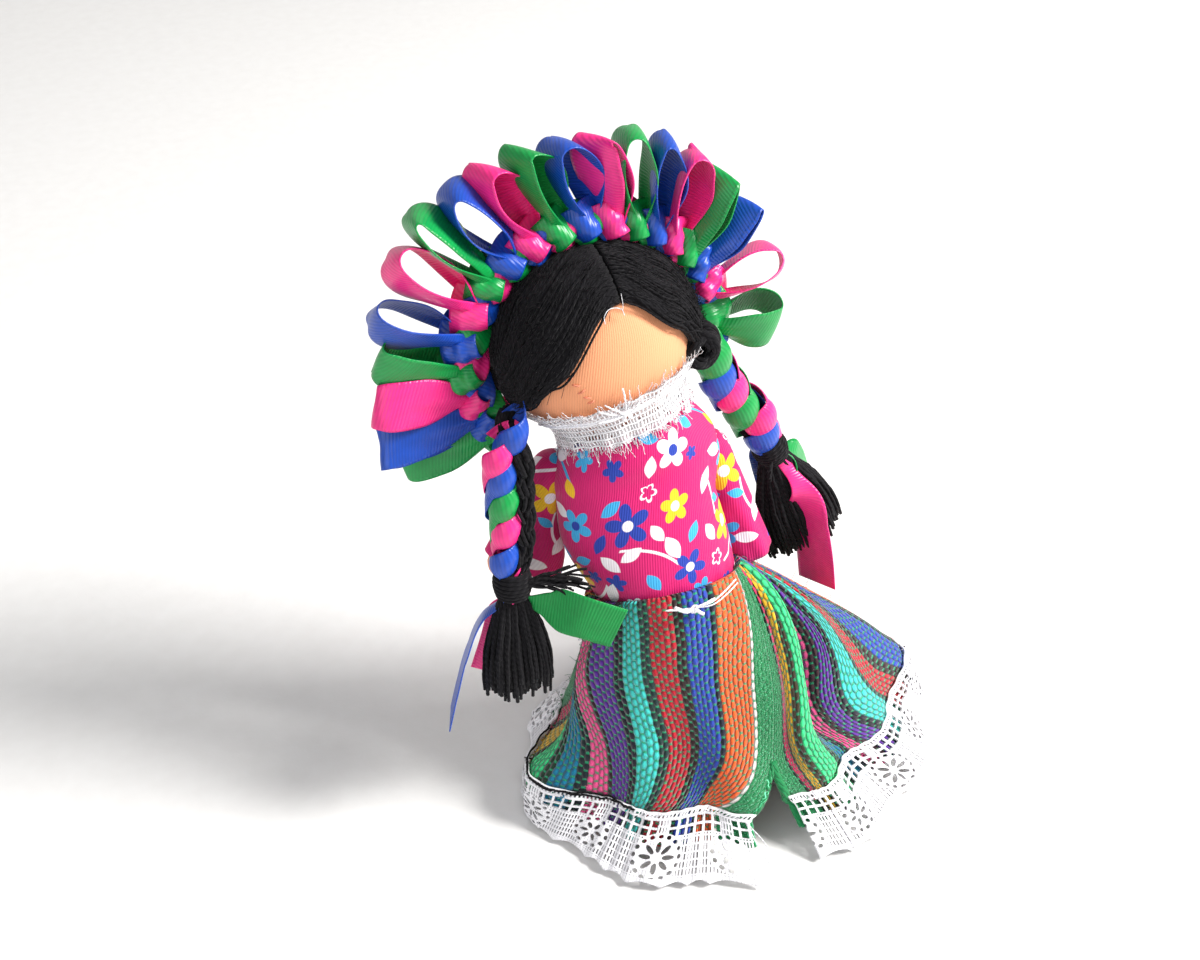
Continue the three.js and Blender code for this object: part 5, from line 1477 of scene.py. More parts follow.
def build_braid_yarn(figure, side, braid, line):
    """Hair yarn of a braid: three bundles plaited down to the tie, and a brush of cut ends below it"""
    rng = np.random.default_rng(YARN_SEEDS[side])
    book = Patchwork()
    s = np.linspace(0, line.length, 70)
    taper = 1 - 0.5 * smooth(s, line.length - 6, line.length)
    aside, behind, bulk = braid["yarn"]
    aside = aside * (1 - smooth(s, line.length - 7, line.length))
    for strand in range(3):
        swing = FULL_TURN * s / PLAIT_LENGTH + FULL_TURN * strand / 3
        x = (1.5 * bulk * np.sin(swing) + aside) * taper
        y = (0.9 * np.sin(2 * swing) + behind) * taper
        middle = through(np.concatenate([braid["root"], line.at(s, x, y)[4::6]]), 80)
        t = rng.uniform(0, FULL_TURN, (BUNDLE_YARNS, 1)) + np.linspace(0, 3.0, 80)
        r = 1.25 * np.sqrt(rng.uniform(0, 1, (BUNDLE_YARNS, 1))) * np.linspace(1.15, 0.8, 80)
        book.yarns(middle + line.around(t, r, r), rng.uniform(0.3, 0.42, BUNDLE_YARNS), 6)
    bottom = line.at(line.length - 1.5, 0.0, 0.2)
    wide, deep = braid["brush"]
    a = np.sqrt(rng.uniform(0, 1, BRUSH_YARNS)) * 1.02
    offset = line.around(rng.uniform(0, FULL_TURN, BRUSH_YARNS), a * wide, a * deep)
    t = np.linspace(0, 1, 20)[:, None]
    spread = 0.16 + 0.84 * np.sin(np.pi / 2 * np.clip(t * 1.15, 0, 1)) ** 1.3
    reach = (np.array(braid["end"]) - bottom) * rng.uniform(0.86, 1.03, (BRUSH_YARNS, 1))
    paths = bottom + reach[:, None] * t + offset[:, None] * spread
    paths = paths + np.cumsum(rng.normal(0, 0.07, (BRUSH_YARNS, 20, 3)), axis=1) * (t > 0.1)
    book.yarns(paths, rng.uniform(0.26, 0.4, BRUSH_YARNS), 5)
    if side == "left":
        book.yarns(ear_bun(figure, rng), 0.42, 6)
    name = f"{side}_braid_yarn"
    add_piece(book, figure, name, ["black_yarn"], f"{side}_braid", "black_yarn", name)


def ear_bun(figure, rng):
    """Small knot of yarn at the left ear: strands wound round a short axis"""
    centre = figure.on_head([15.8, -7.0, -2.2])
    t = np.linspace(0, FULL_TURN, 30)[None]
    height = rng.uniform(-1, 1, (BUN_YARNS, 1))
    radius = 4.2 * np.sqrt((1 - 0.8 * height**2) * rng.uniform(0.05, 1, (BUN_YARNS, 1)))
    x = radius * np.cos(t + 4 * height)
    y = 3.2 * height + 0.4 * np.sin(3 * t)
    z = radius * 1.05 * np.sin(t + 4 * height)
    return centre + np.stack([x, y, z], -1)


def build_braid_tie(figure, side, line):
    """Yarn wound round the braid's end: a close helix in two layers, and the cut ends of the knot"""
    rng = np.random.default_rng(TIE_SEEDS[side])
    t = np.linspace(0, FULL_TURN * TIE_TURNS, TIE_TURNS * 28)
    share = t / t[-1]
    r = figure.hair.tie_radius * MM * (0.84 + 0.16 * np.sin(np.pi * share)) - 0.3
    s = line.length + (share - 0.5) * (TIE_HEIGHT + 0.6)
    book = Patchwork()
    for layer in (0.0, 0.55):
        turn = t + layer
        path = line.at(s + 0.3 * layer, (r - layer) * np.cos(turn), (r - layer) * np.sin(turn))
        book.yarns(path[None], 0.46, 7)
    u = np.linspace(0, 1, 22)[None]
    each = (22, 1) if side == "right" else (5, 1)
    if side == "right":
        x = 1.5 + rng.uniform(5, 13.5, each) * u
        y = -2.4 - 1.6 * u + rng.normal(0, 0.8, each) * u
        z = -0.4 + rng.normal(0, 1.5, each) * u - 2.4 * u * (1 - u)
        z = z + 0.35 * np.sin(7 * u + rng.uniform(0, 6, each))
    else:
        reach = rng.uniform(3, 6, each)
        x = -1.0 - reach * u * 0.5
        y = -3.0 - 0.8 * u
        z = rng.normal(0, 1.0, each) * u + reach * u * 0.7
    book.yarns(line.at(line.length + z, x, y), rng.uniform(0.14, 0.3, each[0]), 5)
    name = f"{side}_braid_tie"
    add_piece(book, figure, name, ["black_yarn"], f"{side}_braid", "black_yarn", name)


# Blouse, sleeves and collar

PRINT_SHIFT = (31.0, 7.0)
COLLAR_ROUND = 240
FRAYED = ((0, 2, 330), (-1, -3, 260))
TIE_ENDS = (
    (-4.6, -1.6, 3.2), (-3.2, -1.8, 4.0), (-1.8, -1.6, 2.6), (0.6, -1.6, 5.4), (1.6, -1.6, 4.4),
    (2.8, -1.4, 2.0), (-5.4, -1.4, 1.4),
)


def build_blouse(figure):
    """Printed cotton drawn close over the stuffed body, with soft creases that gather at the waist. It is
    pulled in at one place in front and rounds out over both shoulders."""
    cotton = figure.body.cotton * MM
    grid = torso_grid(figure, figure.body.gap * MM + cotton / 2, 70, -4.0, 120, collared=True)
    turn = np.arctan2(grid[..., 1], grid[..., 0])
    z = grid[..., 2]
    crease = 0.22 * (1 - smooth(z, -2, 12)) * np.sin(17 * turn)
    crease = crease + 0.2 * np.sin(3 * turn + z * 0.25) * np.sin(z * 0.16)
    pull = 0.28 * bell(turn, -0.55, 0.1) * smooth(z, 4, 12) * (1 - smooth(z, 22, 28))
    normal = facing(grid, True)
    normal = normal * np.sign((normal[..., :2] * grid[..., :2]).sum(-1))[..., None]
    grid = grid + normal * np.maximum(crease + 0.1, -0.1)[..., None] - normal * pull[..., None]
    left = 3.0 * bell(turn, 0.05, 0.6) * smooth(z, 17, 25) * (1 - smooth(z, 28, 36.5))
    right = 2.4 * bell(np.abs(turn), np.pi, 0.6) * smooth(z, 4, 24) * (1 - smooth(z, 29, 36.5))
    local = figure.on_body(grid + outward(turn) * (left + right)[..., None])
    book = Patchwork()
    book.sheet(local, cotton, cloth_marks(local), around=True)
    made = add_piece(book, figure, "blouse", ["printed_cotton"], "torso", "printed_cotton", "blouse")


def sleeve_line(arm, cotton):
    """A sleeve along its arm, as place, half width, half thickness and sideways shift: a dome over the
    shoulder that spreads out towards the cuff"""
    r = SLEEVE_RADIUS - cotton / 2
    wide, thin, off = arm["cuff"]
    dome = np.linspace(0.06, np.pi / 2, 9)[:-1]
    knots = [(-r * math.cos(a), r * math.sin(a), r * math.sin(a), 0.0) for a in dome] + [(2, r, r, 0.0)]
    for share in (0.25, 0.5, 0.75, 1.0):
        spread = float(smooth(share, 0.1, 1))
        half, thick = (mix(r, size - cotton / 2, spread) for size in (wide, thin))
        knots.append((mix(2, arm["sleeve"], share), half, thick, off * spread))
    return through(np.array(knots), 46).T


def build_sleeve(figure, side):
    """Sleeve of the same print, closed over the shoulder and open at the cuff, with a few soft folds"""
    arm = ARMS[side]
    along, across, other = limb_frame(arm)
    cotton = figure.body.cotton * MM
    run, half, thick, off = sleeve_line(arm, cotton)
    run = run[:, None]
    centre = np.array(arm["shoulder"]) + along * run + other * arm["inwards"] * off[:, None]
    grid = ring_around(centre, across, other, thick, half, SLEEVE_SIDES)
    fold = 0.25 * smooth(run, 3, arm["sleeve"]) * np.sin(6 * ring_turns(SLEEVE_SIDES) + 0.15 * run)
    local = figure.on_body(grid + unit(grid - centre[:, None]) * fold[..., None])
    book = Patchwork()
    book.sheet(local, cotton, cloth_marks(local) + PRINT_SHIFT, around=True)
    name = f"{side}_sleeve"
    made = add_piece(book, figure, name, ["printed_cotton"], f"{side}_arm", "printed_cotton", name)


def collar_rows(figure, turn, share):
    """Places of the collar at angles round the neck: share runs from its lower edge to its upper one. In
    front it stands up before the chin, at the sides and the back it lies lower."""
    front = 1 - smooth(-np.cos(turn - math.radians(-84)), -0.2, 0.75)
    z = mix(mix(34.6, 37.6, front), mix(40.2, 46.4, front), share)
    lower = mix(figure.body.neck_radius * MM + 3.2, 12.4, front)
    upper = mix(13.2, 16.6, front)
    waist = 0.9 * np.sin(np.pi * share) ** 2
    across = mix(lower, upper, share**1.3) - waist
    along = mix(lower * 0.94, upper * 0.9, share**1.3) - waist
    return np.stack(np.broadcast_arrays(across * np.cos(turn), along * np.sin(turn), z), -1)


def build_collar(figure):
    """Band of loose lace gathered round the neck, its two raw edges frayed into single threads"""
    rng = np.random.default_rng(5)
    turn = ring_turns(COLLAR_ROUND)[None]
    share = np.linspace(0, 1, 26)[:, None]
    ruffle = 0.3 * np.abs(2 * share - 1) ** 1.4 * np.sin(23 * turn + 0.9 * np.sin(3 * turn))
    ruffle = ruffle + 0.16 * np.sin(9 * turn + 1)
    aside = outward(turn, share)
    rings = collar_rows(figure, turn, share) + aside * (ruffle + 0.2)[..., None]
    local = figure.on_body(rings)
    book = Patchwork()
    book.sheet(local, 0.22, cloth_marks(local), around=True)
    t = np.linspace(0, 1, 6)[:, None]
    for row, inner, count in FRAYED:
        pick = rng.integers(0, COLLAR_ROUND, count)
        step = unit(local[row] - local[inner])[pick, None]
        out = unit(figure.on_body(rings + aside)[row] - local[row])[pick, None]
        reach = rng.uniform(0.5, 1.9, (count, 1, 1))
        stray = rng.normal(0, 0.35, (count, 1, 3))
        paths = local[row][pick, None] + (step + out * 0.25 + stray) * reach * t
        paths = paths + out * 0.5 * t * (1 - t) + 0.12 * rng.normal(size=(count, 6, 3)) * t
        book.yarns(paths, 0.06, 4, slot=1)
    names = ["frayed_net", "white_thread"]
    made = add_piece(book, figure, "lace_collar", names, "collar", "white_lace", "lace_collar")


def closed_cord(points, count):
    """Smooth closed line through a ring of points"""
    ring = np.concatenate([points[-2:], points, points[:3]])
    return through(ring, at=np.linspace(0, len(points), count), knots=np.arange(-2, len(points) + 3))


def build_collar_tie(figure):
    """Thread that gathers the collar, knotted in front, its cut ends standing up before the face"""
    rng = np.random.default_rng(6)
    turn = ring_turns(40)
    ring = collar_rows(figure, turn, np.full(40, 0.72))
    ring = ring + outward(turn) * (0.55 + 0.18 * np.sin(11 * turn))[:, None]
    knot = ring[29]
    book = Patchwork()
    cord = figure.on_body(closed_cord(ring, 160))
    book.yarns(np.stack([cord, cord + np.array([0, 0, 0.45])]), 0.24, 6)
    t, k = np.linspace(0, FULL_TURN, 24), np.arange(5)[:, None]
    turns = np.stack([np.cos(t + k), 0.7 * np.sin(t + k) - 0.5, np.sin(t * 1.5 + 2 * k)], -1)
    book.yarns(figure.on_body(knot + 0.75 * turns), 0.24, 6)
    u = np.linspace(0, 1, 14)[:, None]
    paths = knot + np.array(TIE_ENDS)[:, None] * u + np.array([0, -0.9, 0]) * u * (1 - u) * 4
    paths = paths + rng.normal(0, 0.06, (7, 14, 3)) * u
    book.yarns(figure.on_body(paths), rng.uniform(0.09, 0.2, 7), 5)
    add_piece(book, figure, "collar_tie", ["white_thread"], "collar", "white_thread", "collar_tie")


# Skirt. Angles round the skirt of each seam between stripes: at the waist, a third and two thirds down, and
# at the hem. The first column is the place on the flat cloth in millimetres, from the front seam to the left.

SEAMS = (
    (-119.25, -252, -252, -252, -252),
    (-73.5, -200, -200, -194, -200),
    (-67.0, -190, -192, -187, -190),
    (-60.5, -182, -186, -178, -180.5),
    (-53.5, -176, -181, -170, -171.5),
    (-47.5, -170, -176, -163, -163),
    (-41.5, -160, -166, -154.5, -154),
    (-35.0, -142, -146, -143.5, -148),
    (-28.0, -121, -128, -130, -141.5),
    (-21.0, -98, -109, -117, -133),
    (-14.0, -72, -91.5, -104.5, -124.5),
    (-7.0, -41, -73, -91.5, -113.5),
    (0.0, -33, -60, -80, -94),
    (5.5, -31, -56, -76, -81),
    (12.0, -30, -53, -73, -75),
    (18.5, -28.5, -50, -70, -68),
    (25.5, -17, -37, -61, -54),
    (31.5, -12, -29, -54, -44),
    (37.5, -10, -24, -47, -37),
    (44.0, -8, -20, -38, -28),
    (51.0, -5, -14, -24, -14),
    (58.0, -1, -6, -8, -3),
    (65.0, 4, 3, 5, 6),
    (73.0, 12, 14, 16, 17),
    (119.25, 108, 108, 108, 108),
)
SEAM_LEVELS = (0.0, 0.35, 0.72, 1.0)
SLIT_TOP = 0.78
SLIT_HALF_ANGLE = 10.0
LACE_START = 1.0
LACE_OVERLAP = 7.5
FLAT_HALF = 119.25
EASED = 0.08
SKIRT_COLUMNS = 478
SKIRT_ROWS = 64
HEM_ROWS = 15
ROPE_YARNS = 7
FRINGE_ENDS = 700
FUZZ_FIBRES = 950
LACE_COLUMNS = 720
LACE_ROWS = 30


def rounded_diamond(turn, a, b, squareness):
    """Distance out at an angle: a superellipse with softened corners"""
    across = np.sqrt(np.cos(turn) ** 2 + 0.012) / a
    along = np.sqrt(np.sin(turn) ** 2 + 0.012) / b
    return 1 / (across**squareness + along**squareness) ** (1 / squareness)


def waist_point(figure, turn):
    """The skirt's gathered top, close round the blouse"""
    gap = figure.body.cotton * MM + 2 * figure.body.gap * MM + figure.clothes.handwoven * MM / 2
    w = figure.body.torso_half_width * MM
    d = figure.body.torso_half_depth * MM
    z = 2.6 - 0.24 * w * np.cos(turn) - 0.28 * d * np.sin(turn)
    rows = np.array(TORSO)
    share = np.interp(z, rows[:, 0], rows[:, 1])
    x = np.interp(z, rows[:, 0], rows[:, 2])
    across, along = (w * share + gap) * np.cos(turn), (d * share + gap) * np.sin(turn)
    return figure.on_body(np.stack([x + across, along, z], -1))


def skirt_raw(figure, turn, v):
    """The skirt's middle surface: v runs from 0 at the waist through 1 where the lace starts to 2 on the
    floor"""
    c = figure.clothes
    waist = waist_point(figure, turn)
    fold = 1.3 * np.sin(10 * turn + 0.6) * smooth(v, 0, 0.9)
    hem_size = c.skirt_half_width * MM, c.skirt_half_depth * MM
    hem_r = rounded_diamond(turn - math.radians(4), *hem_size, 1.35) + fold
    hem = np.stack(np.broadcast_arrays(hem_r * np.cos(turn), hem_r * np.sin(turn), c.skirt_height * MM), -1)
    floor_size = c.lace_half_width * MM, c.lace_half_depth * MM
    floor_r = rounded_diamond(turn - math.radians(9), *floor_size, 2) + fold * 0.8
    floor = np.stack(np.broadcast_arrays(1.5 + floor_r * np.cos(turn), floor_r * np.sin(turn), 0.3), -1)
    swell = (-0.01 + 0.09 * np.cos(turn)) * np.sin(np.pi * np.clip(v, 0, 1))
    upper = waist + (hem - waist) * (np.clip(v, 0, 1) + swell)[..., None]
    upper[..., 2] = mix(waist[..., 2], hem[..., 2], np.clip(v, 0, 1))
    return np.where((v > 1)[..., None], hem + (floor - hem) * (v - 1)[..., None], upper)


def skirt_surface(figure, turn, v):
    """skirt_raw, softened down its length by mixing each point with those a little above and below it"""
    turn, v = np.broadcast_arrays(turn, v)
    plain = skirt_raw(figure, turn, v)
    mixed = plain * 2 + skirt_raw(figure, turn, v - EASED) + skirt_raw(figure, turn, v + EASED)
    inner = (v >= EASED) & (v <= 2 - EASED)
    return np.where(inner[..., None], mixed / 4, plain)


def seam_angle(u, v):
    """Angle round the skirt of a place on the flat cloth, at a level down it: smooth in both"""
    table = np.array(SEAMS)
    fine = np.linspace(-FLAT_HALF, FLAT_HALF, SKIRT_COLUMNS)
    kernel = np.ones(SOFTENED) / SOFTENED
    levels = []
    for column in range(1, 5):
        row = np.interp(fine, table[:, 0], table[:, column])
        padded = np.concatenate([2 * row[0] - row[8:0:-1], row, 2 * row[-1] - row[-2:-10:-1]])
        levels.append(np.interp(u, fine, np.convolve(padded, kernel, "same")[8:-8]))
    return through(np.array(levels), at=np.clip(v, 0, 1), knots=SEAM_LEVELS)


def skirt_grid(figure, u, v):
    """Points and normals of the cloth for flat places u and levels v, opened in a slit at the front"""
    slit = SLIT_HALF_ANGLE * smooth(v, SLIT_TOP, SLIT_TOP + 0.3)[:, None]
    closed = 1 - smooth(np.abs(u), 2, 26)
    turn = seam_angle(u, v) + np.sign(u + 1e-6) * slit * closed * bell(u, 0, 14.0)
    points = skirt_surface(figure, np.radians(turn), v[:, None] * np.ones_like(turn))
    normal = facing(points)
    heart = points.mean(axis=(0, 1))
    return points, normal * np.sign((normal[..., :2] * (points - heart)[..., :2]).sum(-1).mean())


def swell(v, low, span):
    """Half a sine wave: 0 up to low, 1 in the middle and 0 again a span further"""
    return np.sin(np.pi * np.clip((v - low) / span, 0, 1))


def cloth_relief(u, v):
    """Folds of the thick cloth, in millimetres outwards: gathers under the waist, a deep valley beside the
    mint stripe, a roll at the hem and a gentle unevenness"""
    gathers = 0.55 * np.sin(FULL_TURN * u / 5.2 + 1.3 * np.sin(u / 9)) * bell(v, 0.06, 0.22)
    gathers = gathers * (0.25 + smooth(np.abs(u + 18), 16, 34))
    valley = -4.4 * bell(u, 31.5, 4.4) * swell(v, 0.03, 0.9) ** 0.8
    ridge = 3.4 * bell(u, 21, 5.4) * swell(v, 0.0, 0.97) ** 0.7
    panel = 2.0 * bell(u, 50, 10) * swell(v, 0.1, 0.9)
    panel = panel - 4.6 * bell(u, -64, 11) * swell(v, 0.02, 0.96) ** 0.8
    roll = 0.5 * bell(v, 0.93, 0.05) - 0.7 * bell(v, 1.01, 0.03)
    broad = 0.5 * np.sin(u / 6.3 + 2 * v) * np.sin(2.2 * v + 0.5)
    return gathers + valley + ridge + panel + roll * 0.6 + broad * smooth(v, 0.1, 0.5)


def sewn(points, one, other):
    """Brings two columns of a grid together in their middle"""
    points[:, one] = points[:, other] = (points[:, one] + points[:, other]) / 2


def build_skirt(figure):
    """Handwoven striped cotton, gathered at the waist and open in a slit at the front"""
    rng = np.random.default_rng(8)
    u = np.linspace(-FLAT_HALF, FLAT_HALF, SKIRT_COLUMNS)
    hem = LACE_START + LACE_OVERLAP / (figure.clothes.lace_width * MM)
    v = np.concatenate([np.linspace(0, 1, SKIRT_ROWS), np.linspace(1, hem, HEM_ROWS)[1:]])
    points, normal = skirt_grid(figure, u, v)
    relief = cloth_relief(u[None], v[:, None]) * (1 - smooth(v, 0.96, 1.12))[:, None]
    points = points + normal * relief[..., None]
    down = distances(points[:, np.argmin(np.abs(u)) - 30])
    marks = pair(u[None], down[:, None])
    half = len(u) // 2
    top = int(np.searchsorted(v, SLIT_TOP))
    sewn(points[: top + 1], half - 1, half)
    sewn(points, 0, -1)
    book = Patchwork()
    thick = figure.clothes.handwoven * MM
    book.sheet(points[:, :half], thick, marks[:, :half])
    book.sheet(points[:, half:], thick, marks[:, half:])
    rope(book, points[top:, half - 1], 0.95, -1.0, rng)
    rope(book, points[top:, half], 0.95, 1.0, rng)
    row = v.searchsorted(1.0)
    fringe(book, points[row], normal[row], u, rng)
    fuzz(book, points[:SKIRT_ROWS], normal[:SKIRT_ROWS], u, thick / 2, rng)
    made = add_piece(book, figure, "skirt", ["handwoven_cotton"], "torso", "handwoven_cotton", "skirt")


def rope(book, edge, radius, mark, rng):
    """Turned and rolled edge of the slit: a lumpy cord of dark green yarn along it"""
    t = np.linspace(0, 9, 40)[None] + np.linspace(0, FULL_TURN, ROPE_YARNS)[:, None]
    paths = through(edge, 40) + outward(t) * radius * 0.6 + rng.normal(0, 0.05, (ROPE_YARNS, 40, 3))
    book.yarns(paths, 0.42, 6, mark=np.full(ROPE_YARNS, mark))


def fringe(book, edge, normal, u, rng):
    """Loose yarn ends that stand out above the lace heading, each in its stripe's colour"""
    pick = rng.integers(2, len(edge) - 2, FRINGE_ENDS)
    out = normal[pick][:, None]
    start = edge[pick][:, None] + out * 0.5
    t = np.linspace(0, 1, 5)[:, None]
    drop = np.array([0, 0, -0.5]) + out * 0.7 + rng.normal(0, 0.3, (FRINGE_ENDS, 1, 3))
    paths = start + drop * rng.uniform(0.4, 1.5, (FRINGE_ENDS, 1, 1)) * t
    paths = paths + rng.normal(0, 0.06, (FRINGE_ENDS, 5, 3)) * t
    book.yarns(paths, 0.17, 4, mark=u[pick])


def fuzz(book, points, normal, u, proud, rng):
    """Short fibres that stand off the cloth and bend over, each in its stripe's colour"""
    row = rng.integers(2, len(points) - 1, FUZZ_FIBRES)
    column = rng.integers(2, len(u) - 2, FUZZ_FIBRES)
    off = normal[row, column][:, None]
    t = np.linspace(0, 1, 4)[:, None]
    aside = rng.normal(0, 1, (FUZZ_FIBRES, 1, 3))
    reach = rng.uniform(0.4, 1.5, (FUZZ_FIBRES, 1, 1))
    paths = points[row, column][:, None] + off * (proud - 0.1)
    paths = paths + (off * (t - 0.5 * t**2) + aside * 0.6 * t**2) * reach
    book.yarns(paths, 0.045, 3, mark=u[column])


def build_hem_lace(figure):
    """Machine lace sewn over the hem: it runs out over the floor, softly scalloped, with two cut ends at
    the slit"""
    u = np.linspace(-FLAT_HALF, FLAT_HALF, LACE_COLUMNS)
    v = np.linspace(LACE_START - 0.02, 2, LACE_ROWS)
    points, normal = skirt_grid(figure, u, v)
    v = v[:, None]
    lace = figure.clothes.lace * MM
    proud = figure.clothes.handwoven * MM / 2 + figure.body.gap * MM + lace / 2
    ripple = 0.3 * np.sin(FULL_TURN * u / 13.75) * smooth(v, 1.2, 2) + 0.18 * np.sin(FULL_TURN * u / 4.1)
    points = points + normal * (proud + ripple)[..., None]
    scallop = 0.9 * np.abs(np.sin(np.pi * u / 6.9)) * smooth(v, 1.9, 2)
    points = points - unit(points[-1] - points[-3]) * scallop[..., None]
    points[..., 2] = np.maximum(points[..., 2], lace * 0.6)
    arc = distances(points[LACE_ROWS // 3])
    down = distances(points).mean(axis=1)
    marks = pair(arc[None], down[:, None])
    sewn(points, 0, -1)
    half = len(u) // 2
    book = Patchwork()
    book.sheet(points[:, :half], lace, marks[:, :half])
    book.sheet(points[:, half:], lace, marks[:, half:])
    hem_threads(book, points, half)
    names = ["white_lace", "black_yarn", "white_thread"]
    made = add_piece(book, figure, "hem_lace", names, "torso", "white_lace", "hem_lace")


def hem_threads(book, points, half):
    """Sewing thread along the lace heading: black running stitches at the left end and loose white ends"""
    rng = np.random.default_rng(15)
    proud = unit(points[0] - points[3]) * 0.2 + np.array([0, 0, 0.45])
    line = (points[1] + proud)[half - 205 : half - 96]
    line = line + rng.normal(0, 0.05, line.shape)
    sway = 0.25 * np.sin(np.arange(len(line)) / 9)[:, None]
    book.yarns(np.stack([line, line + np.array([0.1, -0.15, 0.38]) + sway]), 0.2, 5, slot=1)
    lift = np.sin(np.linspace(0, np.pi, 60))[:, None] * np.array([0.4, -1.2, 2.6])
    loose = points[1, half - 84 : half - 24] + np.array([0, -0.5, 0.5]) + lift
    book.yarns(loose[None], 0.13, 5, slot=2)
    start, corner = points[[2, -1], half - 2]
    ends = np.array([(3.2, -4.6, 0.3), (6.8, -6.4, 0.2)])[:, None]
    t = np.linspace(0, 1, 30)[:, None]
    curl = np.array([1.2, -0.8, 1.8]) * np.sin(np.pi * t) * np.array([1, -0.6])[:, None, None]
    paths = start + (corner + ends - start) * t + curl
    paths[..., 2] = np.maximum(paths[..., 2], 0.15)
    book.yarns(paths, 0.12, 5, slot=2)


# Ends of the waist string from its knot, and the radius of each

STRING_ENDS = (
    ((0, 0, 0), (-1.8, -1.2, 0.7), (-4.2, -1.2, 2.3)),
    ((0, 0, 0), (0.7, -1.2, -0.2), (1.4, -1.4, -0.7)),
    ((0, 0, 0), (3.0, -0.9, 1.2), (6.0, 0.2, 1.9), (9.0, 1.9, 2.6)),
    ((0, 0, 0), (3.2, -1.0, 0.6), (6.4, 0.0, 1.3), (9.4, 1.8, 1.7)),
)
END_RADII = (0.36, 0.34, 0.17, 0.14)


def build_waist_string(figure):
    """White string tied round the skirt's top, its two ends lying over the blouse and the skirt"""
    r = figure.clothes.thread_radius * MM
    proud = figure.clothes.handwoven * MM / 2 + figure.body.gap * MM + r
    turn = ring_turns(48)
    ring = skirt_surface(figure, turn, np.full(48, 0.05))
    shown = bell(turn, 1.5 * np.pi, 0.3)[:, None]
    ring = ring + unit((ring - ring.mean(axis=0)) * np.array([1, 1, 0.2])) * (proud + 0.1) * shown
    knot = ring[36]
    book = Patchwork()
    book.yarns(closed_cord(ring, 200)[None], r * 0.45, 7)
    t, k = np.linspace(0, FULL_TURN, 30), np.arange(3)[:, None]
    turns = np.stack([np.cos(t + k), 0.5 * np.sin(t + k) - 0.6, np.sin(t + 2 * k)], -1)
    book.yarns(knot + 0.55 * turns, r * 0.5, 6)
    book.yarns(np.stack([through(knot + np.array(end), 30) for end in STRING_ENDS]), END_RADII, 7)
    add_piece(book, figure, "waist_string", ["white_thread"], "torso", "white_thread", "waist_string")


# Stage. Lamps: name, spot, what they aim at, size, watts and tint.

VIEW_DISTANCE = 312.0
FOCAL_PIXELS = 1500.0
FLOOR_SPOT = (722.0, 742.0)
FRAME_SIZE = (1200.0, 960.0)
SENSOR = 36.0
LAMPS = (
    ("window", (0.55, -0.25, 0.6), (0, 0, 0.06), 0.26, 13.0, (1.0, 0.985, 0.96)),
    ("bounce", (-0.6, -0.5, 0.45), (0, 0, 0.07), 0.7, 2.6, (0.95, 0.97, 1.0)),
)
SKY_STRENGTH = 0.42
FLOOR_X = (-1800, -600, 0, 600, 1800)
FLOOR_Y = (-900, -300, 0, 300, 700)
BEND_START, BEND_RADIUS, WALL_TOP = 900, 300, 1400


def set_up(scene, name, data, axes, spot):
    """Object whose own three axes lie along the given directions, at a spot in metres"""
    made = bpy.data.objects.new(name, data)
    made.matrix_world = Matrix([*np.column_stack([*axes, spot]).tolist(), (0, 0, 0, 1)])
    scene.collection.objects.link(made)
    return made


def build_camera(figure):
    """Camera at the photograph's angle: the doll's floor point stands at its place in the frame"""
    right, up, back = view_axes()
    aside = (FLOOR_SPOT[0] - FRAME_SIZE[0] / 2) / FOCAL_PIXELS * VIEW_DISTANCE
    above = (FRAME_SIZE[1] / 2 - FLOOR_SPOT[1]) / FOCAL_PIXELS * VIEW_DISTANCE
    camera = bpy.data.cameras.new("doll_camera")
    camera.sensor_width = SENSOR
    camera.lens = FOCAL_PIXELS / FRAME_SIZE[0] * SENSOR
    camera.clip_start = 0.01
    spot = figure.row(back * VIEW_DISTANCE - right * aside - up * above)
    figure.scene.camera = set_up(figure.scene, "doll_camera", camera, (right, up, back), spot)


def build_floor(scene):
    """Pale floor that curves up into a pale wall: a profile carried sideways"""
    t = np.linspace(0, np.pi / 2, 16)
    y = np.concatenate([FLOOR_Y, BEND_START + BEND_RADIUS * np.sin(t), [BEND_START + BEND_RADIUS]])
    z = np.concatenate([np.zeros(len(FLOOR_Y)), BEND_RADIUS - BEND_RADIUS * np.cos(t), [WALL_TOP]])
    grid = np.stack(np.broadcast_arrays(np.array(FLOOR_X, float), y[:, None], z[:, None]), -1) / MM
    m, n = grid.shape[:2]
    i, j = np.arange(m - 1)[:, None], np.arange(n - 1)[None]
    faces = np.stack([i * n + j, i * n + j + 1, (i + 1) * n + j + 1, (i + 1) * n + j], -1).reshape(-1, 4)
    mesh = bpy.data.meshes.new("table_and_wall")
    mesh.from_pydata(grid.reshape(-1, 3).tolist(), [], faces.tolist())
    mesh.materials.append(plain_floor())
    for face in mesh.polygons:
        face.use_smooth = True
    made = bpy.data.objects.new("table_and_wall", mesh)
    scene.collection.objects.link(made)


def build_light(scene):
    """Soft window light from the right and above, with a pale sky all round"""
    world = bpy.data.worlds.new("pale_room")
    world.use_nodes = True
    sky = world.node_tree.nodes["Background"]
    sky.inputs["Color"].default_value = (1.0, 1.0, 1.0, 1)
    sky.inputs["Strength"].default_value = SKY_STRENGTH
    scene.world = world
    for name, spot, aim, size, watts, tint in LAMPS:
        lamp = bpy.data.lights.new(name, "AREA")
        lamp.size = size
        lamp.energy = watts
        lamp.color = tint
        back = unit(np.array(spot) - np.array(aim))
        right = unit(np.cross([0, 0, 1.0], back))
        set_up(scene, name, lamp, (right, np.cross(back, right), back), spot)
    scene.view_settings.view_transform = "Standard"


# Add-on


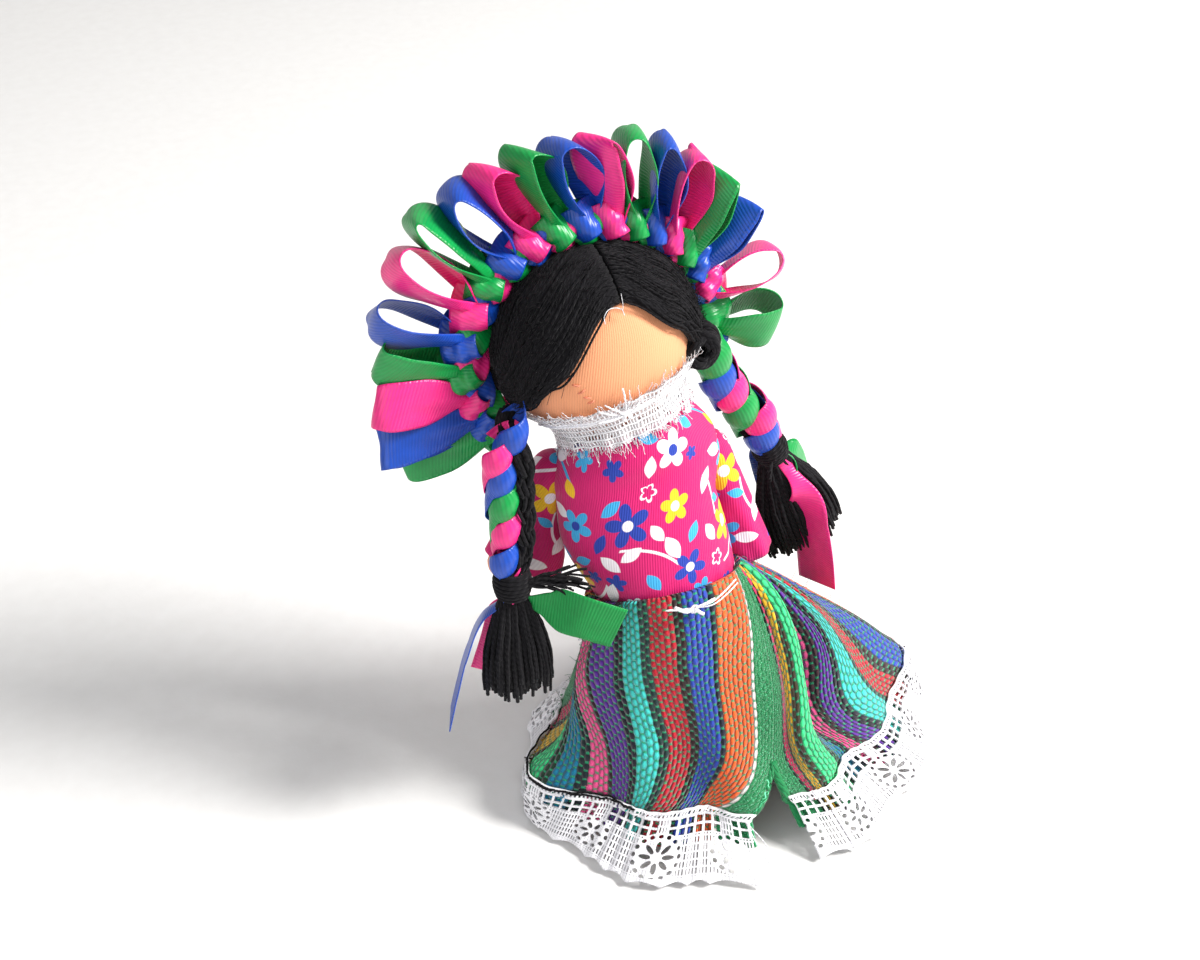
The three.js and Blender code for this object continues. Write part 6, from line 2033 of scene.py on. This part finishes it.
def operator(key, label, words, work):
    """An operator class that builds one piece or group of pieces"""

    def execute(self, context):
        """Builds with the panel's values"""
        work(Figure(context.scene))
        return {"FINISHED"}

    values = {"bl_idname": f"doll.{key}", "bl_label": label, "__doc__": words, "execute": execute}
    return type(f"DOLL_OT_{key}", (bpy.types.Operator,), {**values, "bl_options": {"REGISTER", "UNDO"}})


def both_sides(build):
    """The same piece made for the right side and for the left"""

    def work(figure):
        """Builds the right one first"""
        for side in ("right", "left"):
            build(figure, side)

    return work


def build_stage(figure):
    """Camera, floor and light"""
    build_camera(figure)
    build_floor(figure.scene)
    build_light(figure.scene)


OPERATORS = (
    operator("stage", "Stage", "Add the camera, floor and soft light", build_stage),
    operator("torso", "Torso", "Build the stuffed body", build_torso),
    operator("neck", "Neck", "Build the stuffed neck", build_neck),
    operator("head", "Head", "Build the stuffed head", build_head),
    operator("arms", "Arms", "Build both stuffed arms", both_sides(build_arm)),
    operator("legs", "Legs", "Build both stuffed legs", both_sides(build_leg)),
    operator("hair", "Hair", "Lay the yarn hair over the head", both_sides(build_hair)),
    operator("parting_thread", "Parting thread", "Lay the loose thread at the parting", build_parting_thread),
    operator("headdress", "Headdress", "Plait the ribbons and draw out their loops", build_headdress),
    operator("braids", "Braids", "Build both braids with their ties and tails", both_sides(build_braid)),
    operator("blouse", "Blouse", "Build the printed blouse", build_blouse),
    operator("sleeves", "Sleeves", "Build both sleeves", both_sides(build_sleeve)),
    operator("collar", "Collar", "Build the frayed lace collar", build_collar),
    operator("collar_tie", "Collar tie", "Tie the collar's thread", build_collar_tie),
    operator("skirt", "Skirt", "Build the handwoven skirt", build_skirt),
    operator("hem_lace", "Hem lace", "Sew the lace to the hem", build_hem_lace),
    operator("waist_string", "Waist string", "Tie the string round the waist", build_waist_string),
)


class DOLL_PT_panel(bpy.types.Panel):
    """Sizes and colours of the doll, and a button for each piece"""

    bl_label = "Rag doll"
    bl_idname = "DOLL_PT_panel"
    bl_space_type = "VIEW_3D"
    bl_region_type = "UI"
    bl_category = "Rag doll"

    def draw(self, context):
        """A box of values for each group, then the buttons"""
        for name, group in GROUPS:
            box = self.layout.box()
            box.label(text=group.__doc__)
            for key in group.__annotations__:
                box.prop(getattr(context.scene, name), key)
        for made in OPERATORS:
            self.layout.operator(made.bl_idname)


def register():
    """Adds the value groups, the operators and the panel"""
    for name, group in GROUPS:
        bpy.utils.register_class(group)
        setattr(bpy.types.Scene, name, PointerProperty(type=group))
    for made in (*OPERATORS, DOLL_PT_panel):
        bpy.utils.register_class(made)


def unregister():
    """Takes them out again, in the other order"""
    for made in (DOLL_PT_panel, *reversed(OPERATORS)):
        bpy.utils.unregister_class(made)
    for name, group in reversed(GROUPS):
        delattr(bpy.types.Scene, name)
        bpy.utils.unregister_class(group)


def main():
    """Builds everything in order and writes down the boxes of the solids and of the pieces"""
    register()
    for made in OPERATORS:
        group, name = made.bl_idname.split(".")
        getattr(getattr(bpy.ops, group), name)()


if __name__ == "__main__":
    main()
